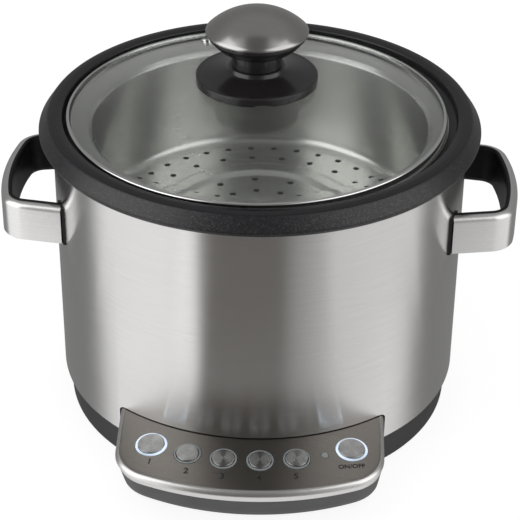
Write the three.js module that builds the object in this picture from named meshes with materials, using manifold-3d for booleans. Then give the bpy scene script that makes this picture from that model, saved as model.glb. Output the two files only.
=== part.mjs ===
// Multicooker: a steel drum with a control panel at its foot, two loop handles,
// and a lift-out bowl, steamer tray and glass lid stacked in its mouth.
// Millimetres, +Z up, front towards -Y. Heights are above the table.
import * as THREE from 'three';
import { mergeVertices } from 'three/addons/utils/BufferGeometryUtils.js';
import Module from 'manifold-3d';

const wasm = await Module();
wasm.setup();

// Driving sizes: clearances and sheets
const gap = 0.3;
const runningGap = 0.4;
const overrun = 10;
const weld = 1e-4;
const drumSheet = 1;
const linerSheet = 0.8;
const traySheet = 0.8;
const bowlWall = 2.4;
const plinthWall = 2.5;

// Driving sizes: drum, foot and heights
const drumRadius = 133.6;
const baseSpace = 55.8;
const shellRise = 6;
const footHeight = 3;
const plinthHeight = 22.2;
const plinthInset = 2.6;
const plinthDraft = 1.7;
const plinthChamfer = 1;
const hemWidth = 4;
const hemRound = 1.2;

// Driving sizes: bowl
const rimOverhang = 9;
const rimEdgeInset = 1.8;
const rimBulgeHeight = 2.6;
const rimHeight = 12;
const rimTopWidth = 9.2;
const rimCrown = 0.5;
const rimRounding = 2;
const shoulderRounding = 3;
const lipInset = 6.6;
const lipDrop = 0.6;
const lipRounding = 1.2;
const seatDepth = 5.3;
const seatWidth = 9.8;
const seatRise = 3;
const bowlDepth = 126;
const bowlTaper = 4.5;
const bowlCorner = 14;

// Driving sizes: steamer tray
const trayPlay = 5.6;
const trayFlange = 10.9;
const trayFlangeRounding = 2.5;
const trayStep = 2.8;
const trayDepth = 73.6;
const trayTaper = 2.6;
const trayCorner = 7;
const ridgeShare = 0.5385;
const ridgeWidth = 11.2;
const ridgeHeight = 2;
const ridgeSlope = 1.6;
const holeRadius = 2;
const holeTurn = -5.7 * Math.PI / 180;

// Rings of holes, with their radii as shares of the floor's radius
const holeRingShares = [
  { radius: 0.308, count: 12 },
  { radius: 0.457, count: 12 },
  { radius: 0.754, count: 24 },
  { radius: 0.886, count: 36 },
];

// Driving sizes: lid and knob
const lidOverhang = 1;
const lidRest = -2.3;
const bandSheet = 0.5;
const bandLip = 2.2;
const bandRounding = 0.4;
const glassThickness = 3.4;
const glassSkirt = 1.4;
const glassRise = 23.3;
const glassBore = 4.2;
const ventRadius = 4;
const ventBore = 1.5;
const ventCollar = 1;
const ventPlay = 0.9;
const ventPlaceShares = [-0.302, 0.67];
const knobBaseRadius = 38.6;
const knobBaseHeight = 5.8;
const knobBaseBevel = 0.9;
const knobBaseCone = 3.8;
const collarRadius = 18.8;
const collarHeight = 2.4;
const stemRadius = 16;
const stemHeight = 9.1;
const knobFlareHeight = 10.3;
const knobRimRadius = 31.1;
const knobRimHeight = 1.9;
const capRadius = 32.5;
const capRise = 13.6;
const capSkirt = 1.4;
const capSheet = 0.8;
const knobTenonRadius = 8;
const washerRadius = 9;
const washerThickness = 1.2;
const knobScrewRadius = 2.4;
const knobScrewReach = 26;
const knobScrewHead = 4.6;
const screwHeadHeight = 2.4;

// Driving sizes: well, hotplate and sensor
const wellGap = 2.1;
const wellFloorWidth = 23;
const wellFlange = 7;
const wellRoom = 15.6;
const collarWeb = 2.3;
const collarFoot = 6;
const collarFootHeight = 3;
const collarDrop = 13;
const plateInset = 17.7;
const plateFlange = 9;
const plateFlangeHeight = 2.6;
const plateBore = 16.7;
const sensorRadius = 15.3;
const sensorWall = 1;
const sensorHeight = 20.3;
const sensorTravel = 3;
const holderWall = 1.5;
const holderFlange = 9;
const springRadius = 11;
const springWire = 0.6;
const springTurns = 5;

// Driving sizes: control panel
const panelHalfWidth = 84.7;
const panelFootReach = 23.2;
const panelFlare = 0.625;
const panelSideFlare = 0.055;
const panelCorner = 27;
const panelRise = 19.8;
const panelSlope = 0.14;
const panelEdge = 3;
const panelSheet = 1.2;
const panelTuck = 6.6;
const panelEndTuck = 3.1;
const panelGap = 0.7;
const cutoutCorner = 4;
const buttonCircle = 18.4;
const smallCap = 7;
const largeCap = 8.3;
const lightRingWidth = 1.5;
const lightRingShoulder = 0.8;
const lightRingProud = 0.7;
const capProud = 1.3;
const capCrown = 0.3;
const capSkirtDepth = 3.6;
const capFlange = 0.9;
const capFlangeHeight = 0.8;
const buttonTravel = 0.8;
const boardDepth = 12;
const boardThickness = 1.6;
const boardWidth = 20;
const switchSize = 6.4;
const switchHeight = 3.4;
const switchWell = 2.3;
const switchWellDepth = 2;
const plungerRadius = 1.9;
const plungerEntry = 0.6;
const lensRadius = 2.2;
const lensProud = 0.5;
const lensDepth = 4;
const lensFlange = 1;

// Places of the controls across the panel, as shares of its half width, from the left to the right
const controlShares = [
  { name: '1', across: -0.73, cap: largeCap },
  { name: '2', across: -0.455, cap: smallCap },
  { name: '3', across: -0.188, cap: smallCap },
  { name: '4', across: 0.081, cap: smallCap },
  { name: '5', across: 0.349, cap: smallCap },
  { name: 'start', across: 0.753, cap: largeCap },
];
const lampShare = 0.555;
const boardShare = 0.87;
const boardPostShares = [-0.61, 0, 0.61];

// Driving sizes: handles
const handleReach = 35.1;
const handleSpan = 54.2;
const handleTaper = 9.5 * Math.PI / 180;
const handleHeight = 26;
const handleDrop = 35.7;
const handleCorner = 18;
const handleSheet = 1;
const handleRoll = 3.8;
const gripLip = 2.6;
const gripLipProud = 0.4;
const gripFoot = 9.4;
const gripFootRise = 3;
const gripHeel = 1.4;
const gasketThickness = 1.5;
const gasketBorder = 0.4;
const handleScrewRadius = 1.9;
const handleScrewHead = 3.4;
const handleScrewReach = 13;
const handleScrewRise = 11;

// Driving sizes: foot, inlet and base details
const footRadius = 9;
const footCircle = 26;
const footRecess = 1;
const footScrewRadius = 1.6;
const footScrewHead = 3.2;
const footScrewSink = 1.2;
const footScrewHeadHeight = 1.3;
const footBossRadius = 5;
const footBossHeight = 9;
const postRadius = 5;
const postInset = 11;
const boardPostRadius = 3;
const slotLength = 34;
const slotWidth = 4;
const slotPitch = 10;
const slotCount = 8;
const inletWidth = 30;
const inletHeight = 24;
const inletDepth = 20;
const inletCorner = 3;
const inletFlange = 3;
const inletFlangeThickness = 2.4;
const inletWall = 2;
const inletSocketDepth = 16;
const pinWidth = 4;
const pinThickness = 2;
const pinLength = 9;
const pinPitch = 7;
const pinDrop = 4;

// Facet counts
const ringSides = 28;
const knobSides = 20;
const footSides = 12;
const buttonSides = 12;
const smallSides = 8;
const screwSides = 6;
const holeSides = 6;
const springSides = 5;
const turnSteps = 8;
const domeSteps = 4;
const bendSteps = 2;

// Worked-out heights: the hotplate carries the bowl, and the bowl's rim crowns the drum
const plinthFloor = footHeight + plinthWall;
const plinthTop = footHeight + plinthHeight;
const drumBottom = plinthTop + gap;
const plateTop = drumBottom + baseSpace;
const wellFloor = plateTop - wellRoom;
const bowlFloor = plateTop + gap + bowlWall;
const rimTop = bowlFloor + bowlDepth;
const rimEdge = rimTop - rimHeight;
const shellTop = rimEdge + shellRise;

// Worked-out radii, from the drum inwards
const drumInside = drumRadius - drumSheet;
const lipRadius = drumRadius - lipInset;
const wallRadius = lipRadius - seatWidth;
const wellRadius = wallRadius + bowlWall + wellGap;
const plateRadius = wallRadius - bowlTaper - plateInset;
const trayRim = lipRadius - trayPlay;
const lidRadius = trayRim + lidOverhang;
const collarInside = drumInside - gap - collarWeb;

// Helpers for outlines
function arc(centre, radius, from, to, steps) {
  const points = [];
  for (let k = 0; k <= steps; k += 1) {
    const angle = from + (to - from) * k / steps;
    points.push([centre[0] + radius * Math.cos(angle), centre[1] + radius * Math.sin(angle)]);
  }
  return points;
}

// Rounds the corners of an open path of [r, z, radius, steps] points
function rounded(path) {
  const points = [];
  path.forEach(([x, y, radius = 0, steps = 1], k) => {
    if (radius === 0 || k === 0 || k === path.length - 1) {
      points.push([x, y]);
      return;
    }
    const corner = new THREE.Vector2(x, y);
    const before = new THREE.Vector2(path[k - 1][0], path[k - 1][1]).sub(corner);
    const after = new THREE.Vector2(path[k + 1][0], path[k + 1][1]).sub(corner);
    const room = Math.min(before.length(), after.length()) / 2;
    before.normalize();
    after.normalize();
    const half = Math.acos(THREE.MathUtils.clamp(before.dot(after), -1, 1)) / 2;
    const reach = Math.min(radius / Math.tan(half), room);
    const bend = reach * Math.tan(half);
    const middle = before.clone().add(after).normalize().multiplyScalar(bend / Math.sin(half)).add(corner);
    const start = corner.clone().addScaledVector(before, reach).sub(middle);
    const end = corner.clone().addScaledVector(after, reach).sub(middle);
    const turn = Math.atan2(start.cross(end), start.dot(end));
    points.push(...arc([middle.x, middle.y], bend, start.angle(), start.angle() + turn, steps));
  });
  return points;
}

// Moves an open path sideways, to the left of its direction, by the thickness of its sheet
function offsetPath(points, distance) {
  const normals = [];
  for (let k = 0; k < points.length - 1; k += 1) {
    const along = new THREE.Vector2(points[k + 1][0] - points[k][0], points[k + 1][1] - points[k][1]);
    along.normalize();
    normals.push(new THREE.Vector2(-along.y, along.x));
  }
  return points.map(([x, y], k) => {
    const first = normals[Math.max(k - 1, 0)];
    const second = normals[Math.min(k, normals.length - 1)];
    const mean = first.clone().add(second).normalize();
    const reach = distance / mean.dot(first);
    return [x + mean.x * reach, y + mean.y * reach];
  });
}

// A pressed sheet seen in section: a skin path and its other side
function sheetSection(skin, thickness) {
  return [...skin, ...offsetPath(skin, thickness).reverse()];
}

// Helpers for solids
function toSolid(geometry) {
  const bare = new THREE.BufferGeometry();
  bare.setAttribute('position', geometry.getAttribute('position'));
  bare.setIndex(geometry.getIndex());
  const merged = mergeVertices(bare, weld);
  const position = merged.getAttribute('position');
  const index = merged.getIndex().array;
  const corner = [new THREE.Vector3(), new THREE.Vector3(), new THREE.Vector3()];
  const triangles = [];
  let volume = 0;
  for (let k = 0; k < index.length; k += 3) {
    const [a, b, c] = [index[k], index[k + 1], index[k + 2]];
    if (a !== b && b !== c && c !== a) {
      triangles.push([a, b, c]);
      [a, b, c].forEach((vertex, n) => corner[n].fromBufferAttribute(position, vertex));
      volume += corner[0].dot(corner[1].cross(corner[2]));
    }
  }
  const facing = volume > 0 ? triangles : triangles.map(([a, b, c]) => [a, c, b]);
  return new wasm.Manifold(new wasm.Mesh({
    numProp: 3,
    vertProperties: new Float32Array(position.array),
    triVerts: new Uint32Array(facing.flat()),
  }));
}

function fromSolid(solid) {
  const { vertProperties, triVerts } = solid.getMesh();
  const geometry = new THREE.BufferGeometry();
  geometry.setAttribute('position', new THREE.BufferAttribute(vertProperties, 3));
  geometry.setIndex(new THREE.BufferAttribute(triVerts, 1));
  const faceted = geometry.toNonIndexed();
  faceted.computeVertexNormals();
  return faceted;
}

function join(solids) {
  return solids.reduce((whole, solid) => whole.add(solid));
}

function cut(solid, tools) {
  return tools.reduce((rest, tool) => rest.subtract(tool), solid);
}

// Turns a closed outline of [r, z] points round the Z axis
function revolve(outline, sides = ringSides) {
  const points = [...outline, outline[0]].map(([r, z]) => new THREE.Vector2(r, z));
  const geometry = new THREE.LatheGeometry(points, sides);
  geometry.rotateX(Math.PI / 2);
  return toSolid(geometry);
}

function cylinder(radius, from, to, sides = smallSides, place = [0, 0]) {
  const geometry = new THREE.CylinderGeometry(radius, radius, to - from, sides);
  geometry.rotateX(Math.PI / 2);
  geometry.translate(place[0], place[1], (from + to) / 2);
  return geometry;
}

function box(size, centre) {
  const geometry = new THREE.BoxGeometry(size[0], size[1], size[2]);
  geometry.translate(centre[0], centre[1], centre[2]);
  return geometry;
}

function moved(geometry, matrix) {
  return toSolid(geometry.clone().applyMatrix4(matrix));
}

function meshFrom(points, triangles) {
  const geometry = new THREE.BufferGeometry();
  geometry.setAttribute('position', new THREE.Float32BufferAttribute(points.flat(), 3));
  geometry.setIndex(triangles.flat());
  return toSolid(geometry);
}

// Joins closed sections of equal count. Each section runs out along one side and
// back along the other, so that its ends close in pairs.
function sweep(sections) {
  const count = sections[0].length;
  const last = (sections.length - 1) * count;
  const triangles = [];
  for (let k = 0; k < sections.length - 1; k += 1) {
    for (let n = 0; n < count; n += 1) {
      const a = k * count + n;
      const b = k * count + (n + 1) % count;
      triangles.push([a, b, b + count], [a, b + count, a + count]);
    }
  }
  for (let n = 0; n < count / 2 - 1; n += 1) {
    const [a, b, c, d] = [n, n + 1, count - 2 - n, count - 1 - n];
    triangles.push([a, c, b], [a, d, c]);
    triangles.push([last + a, last + b, last + c], [last + a, last + c, last + d]);
  }
  return meshFrom(sections.flat(), triangles);
}

// Joins level convex outlines of equal count from the lowest to the highest
function loft(outlines) {
  const count = outlines[0].length;
  const last = (outlines.length - 1) * count;
  const triangles = [];
  for (let k = 0; k < outlines.length - 1; k += 1) {
    for (let n = 0; n < count; n += 1) {
      const a = k * count + n;
      const b = k * count + (n + 1) % count;
      triangles.push([a, b, b + count], [a, b + count, a + count]);
    }
  }
  for (let n = 1; n < count - 1; n += 1) {
    triangles.push([0, n + 1, n], [last, last + n, last + n + 1]);
  }
  return meshFrom(outlines.flat(), triangles);
}

// Materials
const materials = {
  steel: { color: 0xb9b7b2, roughness: 0.32, metalness: 1 },
  polishedSteel: { color: 0xd2d2d0, roughness: 0.15, metalness: 1 },
  traySteel: { color: 0xc4c4be, roughness: 0.35, metalness: 1 },
  nonStick: { color: 0x2c2c30, roughness: 0.5, metalness: 0.1 },
  darkPlastic: { color: 0x3f3f40, roughness: 0.55, metalness: 0 },
  blackPlastic: { color: 0x1c1b1c, roughness: 0.4, metalness: 0 },
  rubber: { color: 0x202020, roughness: 0.85, metalness: 0 },
  glass: { color: 0xdfe6e4, roughness: 0.05, metalness: 0, transparent: true, opacity: 0.35 },
  light: { color: 0xe8f2ff, roughness: 0.3, metalness: 0, emissive: 0xbfd8ff },
  board: { color: 0x1f5a38, roughness: 0.6, metalness: 0 },
  aluminium: { color: 0xa9abad, roughness: 0.45, metalness: 1 },
};

const cooker = new THREE.Group();

function place(name, solid, finish, parent = cooker) {
  const mesh = new THREE.Mesh(fromSolid(solid), new THREE.MeshStandardMaterial(materials[finish]));
  mesh.name = name;
  parent.add(mesh);
  return mesh;
}

// Control panel: plan outline of its side wall, which flares outwards as it rises
const panelFace = drumBottom + panelRise;
const panelFootDrop = panelSlope * (panelFootReach - panelFlare * footHeight);
const panelEdgeHeight = (panelFace - panelFootDrop) / (1 + panelSlope * panelFlare);

function faceHeight(radius) {
  return panelFace - panelSlope * (radius - drumRadius);
}

function panelShape(height, inset) {
  const rise = height - footHeight;
  const radius = drumRadius + panelFootReach + panelFlare * rise - inset;
  const half = panelHalfWidth - panelSideFlare * (panelRise + plinthHeight - rise) - inset;
  const corner = panelCorner - inset;
  const centreX = half - corner;
  const centreY = -Math.sqrt((radius - corner) ** 2 - centreX ** 2);
  return { radius, half, corner, centreX, centreY };
}

const sideShares = [0, 0.5];
const cornerShares = [0, 1 / 3, 2 / 3];
const frontShares = [-1, -0.75, -0.5, -0.25, 0, 0.25, 0.5, 0.75, 1];
const panelStations = [
  ...sideShares.map((share) => ({ part: 'side', share })),
  ...cornerShares.map((share) => ({ part: 'corner', share })),
  ...frontShares.map((share) => ({ part: 'front', share })),
];

// One point of the outline on its left half; a share of front above zero crosses to the right
function panelPoint({ part, share }, shape, backY) {
  const lean = Math.atan2(shape.centreX, -shape.centreY);
  if (part === 'side') {
    return [-shape.half, backY + (shape.centreY - backY) * share];
  }
  if (part === 'corner') {
    const angle = Math.PI + (Math.PI / 2 - lean) * share;
    return [
      -shape.centreX + shape.corner * Math.cos(angle),
      shape.centreY + shape.corner * Math.sin(angle),
    ];
  }
  return [shape.radius * Math.sin(lean * share), -shape.radius * Math.cos(lean * share)];
}

function mirrored([x, y]) {
  return [-x, y];
}

function panelOutline(height, inset, backRadius) {
  const shape = panelShape(height, inset);
  const backY = -Math.sqrt(backRadius ** 2 - shape.half ** 2);
  const left = panelStations.map((station) => panelPoint(station, shape, backY));
  const right = left.filter((point, k) => panelStations[k].part !== 'front').map(mirrored).reverse();
  return [...left, ...right];
}

// Height of the face above a plan point
function faceAbove([x, y]) {
  return faceHeight(Math.hypot(x, y));
}

const fasciaBottom = plinthTop + gap;
const fasciaBack = drumInside - panelEndTuck;
const fasciaInside = drumRadius - panelTuck;

// The rolled edge of the panel: insets and drops from the face, from the flat face to the side wall
function edgeRoll(radius) {
  return arc([radius, radius], radius, Math.PI / 2 * 3, Math.PI, bendSteps);
}

function fasciaSections() {
  const roll = edgeRoll(panelEdge);
  const innerRoll = edgeRoll(panelEdge - panelSheet);
  const outer = roll.map(([inset]) => panelOutline(panelEdgeHeight, inset, fasciaBack));
  const inner = innerRoll.map(([inset]) => panelOutline(panelEdgeHeight, inset + panelSheet, fasciaBack));
  const footOuter = panelOutline(fasciaBottom, 0, fasciaBack);
  const footInner = panelOutline(fasciaBottom, panelSheet, fasciaBack);
  return footOuter.map((foot, k) => {
    const [x, y] = outer[0][k];
    const scale = fasciaInside / Math.hypot(x, y);
    const start = [x * scale, y * scale];
    const skin = [
      [...start, faceAbove(start)],
      ...roll.map(([, drop], n) => [...outer[n][k], faceAbove(outer[n][k]) - drop]),
      [...foot, fasciaBottom],
    ];
    const underside = [
      [...start, faceAbove(start) - panelSheet],
      ...innerRoll.map(([, drop], n) => [...inner[n][k], faceAbove(inner[n][k]) - drop - panelSheet]),
      [...footInner[k], fasciaBottom],
    ];
    return [...skin, ...underside.reverse()];
  });
}

// Angle round the drum, from the front towards the right, of a place across the panel
const controlRadius = drumRadius + buttonCircle;

function angleAcross(share) {
  return Math.asin(share * panelHalfWidth / controlRadius);
}

// A frame on the face: origin at the control, Z along the face's normal
function faceFrame(share) {
  const angle = angleAcross(share);
  const forward = controlRadius * Math.cos(angle);
  const frame = new THREE.Object3D();
  frame.position.set(controlRadius * Math.sin(angle), -forward, faceHeight(controlRadius));
  frame.rotation.set(Math.atan(panelSlope), 0, angle, 'ZYX');
  frame.updateMatrix();
  return frame;
}

function addPanel() {
  const holes = controlShares.map(({ across, cap }) => {
    const tool = cylinder(cap + lightRingWidth + gap, -overrun, overrun, buttonSides);
    return moved(tool, faceFrame(across).matrix);
  });
  holes.push(moved(cylinder(lensRadius + gap, -overrun, overrun), faceFrame(lampShare).matrix));
  place('fascia', cut(sweep(fasciaSections()), holes), 'steel');

  controlShares.forEach(({ name, across, cap }) => addButton(name, faceFrame(across), cap));

  const lens = rounded([
    [0, lensProud],
    [lensRadius, lensProud, lensProud],
    [lensRadius, -panelSheet - gap],
    [lensRadius + lensFlange, -panelSheet - gap],
    [lensRadius + lensFlange, -lensDepth],
    [0, -lensDepth],
  ]);
  const lensFrame = faceFrame(lampShare);
  place('indicator_lens', revolve(lens, smallSides), 'light', lensFrame);
  cooker.add(lensFrame);
  place('control_board', controlBoard(), 'board');
}

// A cap that runs in a light ring; the ring stands on the board and holds to the panel's underside
function addButton(name, frame, cap) {
  const inside = cap + runningGap;
  const room = cap + capFlange + runningGap;
  const outside = cap + lightRingWidth;
  const shoulder = outside + lightRingShoulder;
  const stop = capProud - capSkirtDepth - capFlangeHeight;
  const ring = [
    [inside, lightRingProud],
    [outside, lightRingProud],
    [outside, -panelSheet - gap],
    [shoulder, -panelSheet - gap],
    [shoulder, -boardDepth + gap],
    [room, -boardDepth + gap],
    [room, stop + capFlangeHeight + gap],
    [inside, stop + capFlangeHeight + gap],
  ];
  place(`light_ring_${name}`, revolve(ring, buttonSides), 'light', frame);

  const plungerEnd = -boardDepth + switchHeight - plungerEntry;
  const button = [
    [0, capProud],
    [cap - capCrown, capProud],
    [cap, capProud - capCrown],
    [cap, stop + capFlangeHeight],
    [cap + capFlange, stop + capFlangeHeight],
    [cap + capFlange, stop],
    [plungerRadius, stop],
    [plungerRadius, plungerEnd],
    [0, plungerEnd],
  ];
  place(`button_${name}`, revolve(button, buttonSides), 'polishedSteel', frame);
  cooker.add(frame);
}

// Board on the same slope as the face, with a switch under each button
function controlBoard() {
  const steps = 6;
  const top = boardDepth * Math.hypot(1, panelSlope);
  const span = angleAcross(boardShare);
  const middle = controlRadius - boardDepth * panelSlope;
  const edges = [middle - boardWidth / 2, middle + boardWidth / 2];
  const sections = [];
  for (let k = 0; k <= steps; k += 1) {
    const angle = span * (2 * k / steps - 1);
    const [near, far] = edges.map((radius) => [
      radius * Math.sin(angle),
      -radius * Math.cos(angle),
      faceHeight(radius) - top,
    ]);
    const below = ([x, y, z]) => [x, y, z - boardThickness];
    sections.push([near, far, below(far), below(near)]);
  }
  const switches = controlShares.map(({ across }) => {
    const body = box([switchSize, switchSize, switchHeight + boardThickness / 2],
      [0, 0, -boardDepth + (switchHeight - boardThickness / 2) / 2]);
    return moved(body, faceFrame(across).matrix);
  });
  const wells = controlShares.map(({ across }) => {
    const ceiling = -boardDepth + switchHeight;
    const depth = switchWellDepth + overrun;
    const well = box([2 * switchWell, 2 * switchWell, depth], [0, 0, ceiling - switchWellDepth + depth / 2]);
    return moved(well, faceFrame(across).matrix);
  });
  return cut(join([sweep(sections), ...switches]), wells);
}

// Plinth: a moulded tray under drum and panel
function plinthBody(inset, from, to) {
  const radiusAt = (z) => drumRadius - plinthInset - plinthDraft * (plinthTop - z) / plinthHeight - inset;
  const round = revolve([
    [0, from],
    [radiusAt(from) - plinthChamfer, from],
    [radiusAt(from), from + plinthChamfer],
    [radiusAt(to), to],
    [0, to],
  ]);
  const back = drumRadius / 2 + panelHalfWidth / 2;
  const foot = loft([from, to].map((z) => panelOutline(z, inset, back).map((point) => [...point, z])));
  return round.add(foot);
}

function plinth() {
  const outer = plinthBody(0, footHeight, plinthTop);
  const hollow = plinthBody(plinthWall, plinthFloor, plinthTop + overrun);
  const posts = [1, 3, 5, 7].map((k) => {
    const angle = k * Math.PI / 4;
    const radius = wellRadius - postInset;
    const spot = [radius * Math.cos(angle), radius * Math.sin(angle)];
    return toSolid(cylinder(postRadius, footHeight, wellFloor - gap, smallSides, spot));
  });
  const boardPosts = boardPostShares.map((share) => {
    const angle = angleAcross(share);
    const radius = controlRadius - boardDepth * panelSlope;
    const spot = [radius * Math.sin(angle), -radius * Math.cos(angle)];
    const height = faceHeight(radius) - boardDepth * Math.hypot(1, panelSlope) - boardThickness;
    const top = height - panelSlope * boardPostRadius - gap;
    return toSolid(cylinder(boardPostRadius, footHeight, top, smallSides, spot));
  });
  const bosses = footPlaces.map((spot) => {
    return toSolid(cylinder(footBossRadius, footHeight, footHeight + footBossHeight, smallSides, spot));
  });
  const recesses = footPlaces.map((spot) => {
    const seat = cylinder(footRadius + gap, footHeight - overrun, footHeight + footRecess, footSides, spot);
    return toSolid(seat);
  });
  const pilots = footPlaces.map((spot) => {
    const top = footHeight + footBossHeight - plinthWall / 2;
    return toSolid(cylinder(footScrewRadius + gap, footHeight - overrun, top, smallSides, spot));
  });
  const slots = Array.from({ length: slotCount }, (unused, k) => {
    const x = (k - (slotCount - 1) / 2) * slotPitch;
    return toSolid(box([slotWidth, slotLength, plinthWall + overrun], [x, 0, footHeight]));
  });
  const whole = join([cut(outer, [hollow]), ...posts, ...boardPosts, ...bosses]);
  return cut(whole, [...recesses, ...pilots, ...slots]);
}

const footPlaces = [1, 3, 5, 7].map((k) => {
  const radius = drumRadius - footCircle;
  return [radius * Math.cos(k * Math.PI / 4), radius * Math.sin(k * Math.PI / 4)];
});

function addFeet() {
  const names = ['back_right', 'back_left', 'front_left', 'front_right'];
  const seat = footHeight + footRecess - gap;
  const foot = [
    [footScrewHead + gap, 0],
    [footRadius - footRecess, 0],
    [footRadius, seat],
    [footScrewRadius + gap, seat],
    [footScrewRadius + gap, footScrewSink + footScrewHeadHeight],
    [footScrewHead + gap, footScrewSink + footScrewHeadHeight],
  ];
  const screw = [
    [0, footScrewSink - gap],
    [footScrewHead, footScrewSink - gap],
    [footScrewHead, footScrewSink + footScrewHeadHeight - gap],
    [footScrewRadius, footScrewSink + footScrewHeadHeight - gap],
    [footScrewRadius, footHeight + footBossHeight - plinthWall],
    [0, footHeight + footBossHeight - plinthWall],
  ];
  footPlaces.forEach(([x, y], k) => {
    place(`foot_${names[k]}`, revolve(foot, footSides), 'rubber').position.set(x, y, 0);
    place(`foot_screw_${names[k]}`, revolve(screw, screwSides), 'polishedSteel').position.set(x, y, 0);
  });
}

// Drum: a rolled sheet with a hem at its foot
function shell(handleHoles) {
  const hem = rounded([
    [drumRadius - hemWidth, drumBottom],
    [drumRadius, drumBottom, hemRound, bendSteps],
    [drumRadius, shellTop],
  ]);
  const body = revolve(sheetSection(hem, drumSheet));
  const cutHalf = panelHalfWidth + panelGap;
  const cutTop = panelFace + panelGap;
  const outline = rounded([
    [-cutHalf, 0],
    [-cutHalf, cutTop, cutoutCorner, bendSteps],
    [cutHalf, cutTop, cutoutCorner, bendSteps],
    [cutHalf, 0],
  ]);
  const window = new THREE.ExtrudeGeometry(
    new THREE.Shape(outline.map(([x, y]) => new THREE.Vector2(x, y))),
    { depth: drumRadius, bevelEnabled: false },
  );
  window.rotateX(Math.PI / 2);
  window.translate(0, -drumRadius / 2, 0);
  return cut(body, [toSolid(window), toSolid(inletBlock(gap)), ...handleHoles]);
}

// Inlet: a moulded socket let into the back of the drum, just under the well's floor
const inletHeightAt = wellFloor - gap - inletHeight / 2;

function inletBlock(border) {
  const half = [inletWidth / 2 + border, inletHeight / 2 + border];
  const outline = rounded([
    [0, -half[1]],
    [half[0], -half[1], inletCorner],
    [half[0], half[1], inletCorner],
    [-half[0], half[1], inletCorner],
    [-half[0], -half[1], inletCorner],
    [0, -half[1]],
  ]).slice(1);
  const block = new THREE.ExtrudeGeometry(
    new THREE.Shape(outline.map(([x, y]) => new THREE.Vector2(x, y))),
    { depth: inletDepth, bevelEnabled: false },
  );
  block.rotateX(Math.PI / 2);
  block.translate(0, drumRadius + inletFlangeThickness, inletHeightAt);
  return block;
}

function inlet() {
  const face = drumRadius + inletFlangeThickness;
  const flange = box(
    [inletWidth + 2 * inletFlange, inletFlangeThickness + inletFlange, inletHeight + 2 * inletFlange],
    [0, face - (inletFlangeThickness + inletFlange) / 2, inletHeightAt],
  );
  const drum = revolve([
    [0, 0],
    [drumRadius + gap, 0],
    [drumRadius + gap, shellTop],
    [0, shellTop],
  ]);
  const socket = box(
    [inletWidth - 2 * inletWall, 2 * inletSocketDepth, inletHeight - 2 * inletWall],
    [0, face, inletHeightAt],
  );
  const pins = [-1, 0, 1].map((k) => {
    const start = face - inletSocketDepth - inletWall / 2;
    const drop = k === 0 ? pinDrop / 2 : -pinDrop / 2;
    return toSolid(box([pinThickness, pinLength + inletWall / 2, pinWidth],
      [k * pinPitch, start + (pinLength + inletWall / 2) / 2, inletHeightAt + drop]));
  });
  const body = toSolid(inletBlock(0)).add(toSolid(flange).subtract(drum));
  return join([body.subtract(toSolid(socket)), ...pins]);
}

// Well: a plastic collar on the drum's edge and a thin steel cup that hangs from it
const collarTop = rimTop - bowlWall - rimCrown - gap;
const linerTop = rimEdge + gap;

function collar() {
  const outside = drumInside - gap;
  return revolve([
    [outside, shellTop - collarDrop],
    [outside, shellTop + gap],
    [drumRadius, shellTop + gap],
    [outside - collarWeb / 2, collarTop],
    [collarInside, collarTop],
    [collarInside, linerTop - linerSheet - gap],
    [collarInside - collarFoot, linerTop - linerSheet - gap],
    [collarInside - collarFoot, linerTop - linerSheet - gap - collarFootHeight],
  ]);
}

function liner() {
  const skin = [
    [wellRadius - wellFloorWidth, wellFloor],
    [wellRadius + linerSheet, wellFloor],
    [wellRadius + linerSheet, linerTop - linerSheet],
    [wellRadius + wellFlange, linerTop - linerSheet],
  ];
  return revolve(sheetSection(skin, linerSheet));
}

function hotplate() {
  const bottom = wellFloor + linerSheet + gap;
  const flange = plateRadius + plateFlange;
  return revolve([
    [plateBore, plateTop],
    [plateRadius - plinthChamfer, plateTop],
    [plateRadius, plateTop - plinthChamfer],
    [plateRadius, bottom + plateFlangeHeight],
    [flange, bottom + plateFlangeHeight],
    [flange, bottom],
    [plateBore, bottom],
  ]);
}

class Helix extends THREE.Curve {
  constructor(radius, from, to, turns) {
    super();
    Object.assign(this, { radius, from, to, turns });
  }

  getPoint(share, target = new THREE.Vector3()) {
    const angle = share * this.turns * 2 * Math.PI;
    const height = this.from + (this.to - this.from) * share;
    return target.set(this.radius * Math.cos(angle), this.radius * Math.sin(angle), height);
  }
}

// Sensor: a sprung cap in the middle of the hotplate
function addSensor() {
  const ceiling = plateTop;
  const plateBottom = wellFloor + linerSheet + gap;
  const inside = sensorRadius + runningGap;
  const floor = ceiling - sensorHeight - sensorTravel - gap;
  const holderTop = plateBottom - gap;
  place('sensor_holder', revolve([
    [0, floor - holderWall],
    [inside + holderWall, floor - holderWall],
    [inside + holderWall, holderTop - holderWall],
    [inside + holderFlange, holderTop - holderWall],
    [inside + holderFlange, holderTop],
    [inside, holderTop],
    [inside, floor],
    [0, floor],
  ], knobSides), 'darkPlastic');
  place('sensor_cap', revolve([
    [0, ceiling],
    [sensorRadius - sensorWall, ceiling],
    [sensorRadius, ceiling - sensorWall],
    [sensorRadius, ceiling - sensorHeight],
    [sensorRadius - sensorWall, ceiling - sensorHeight],
    [sensorRadius - sensorWall, ceiling - sensorWall],
    [0, ceiling - sensorWall],
  ], knobSides), 'aluminium');
  const wire = new THREE.Shape(arc([0, 0], springWire, 0, 2 * Math.PI, springSides)
    .slice(1)
    .map(([x, y]) => new THREE.Vector2(x, y)));
  const path = new Helix(springRadius, floor + gap + springWire,
    ceiling - sensorWall - gap - springWire, springTurns);
  const spring = new THREE.ExtrudeGeometry(wire, {
    steps: springTurns * turnSteps,
    bevelEnabled: false,
    extrudePath: path,
  });
  place('sensor_spring', toSolid(spring), 'polishedSteel');
}

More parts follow.
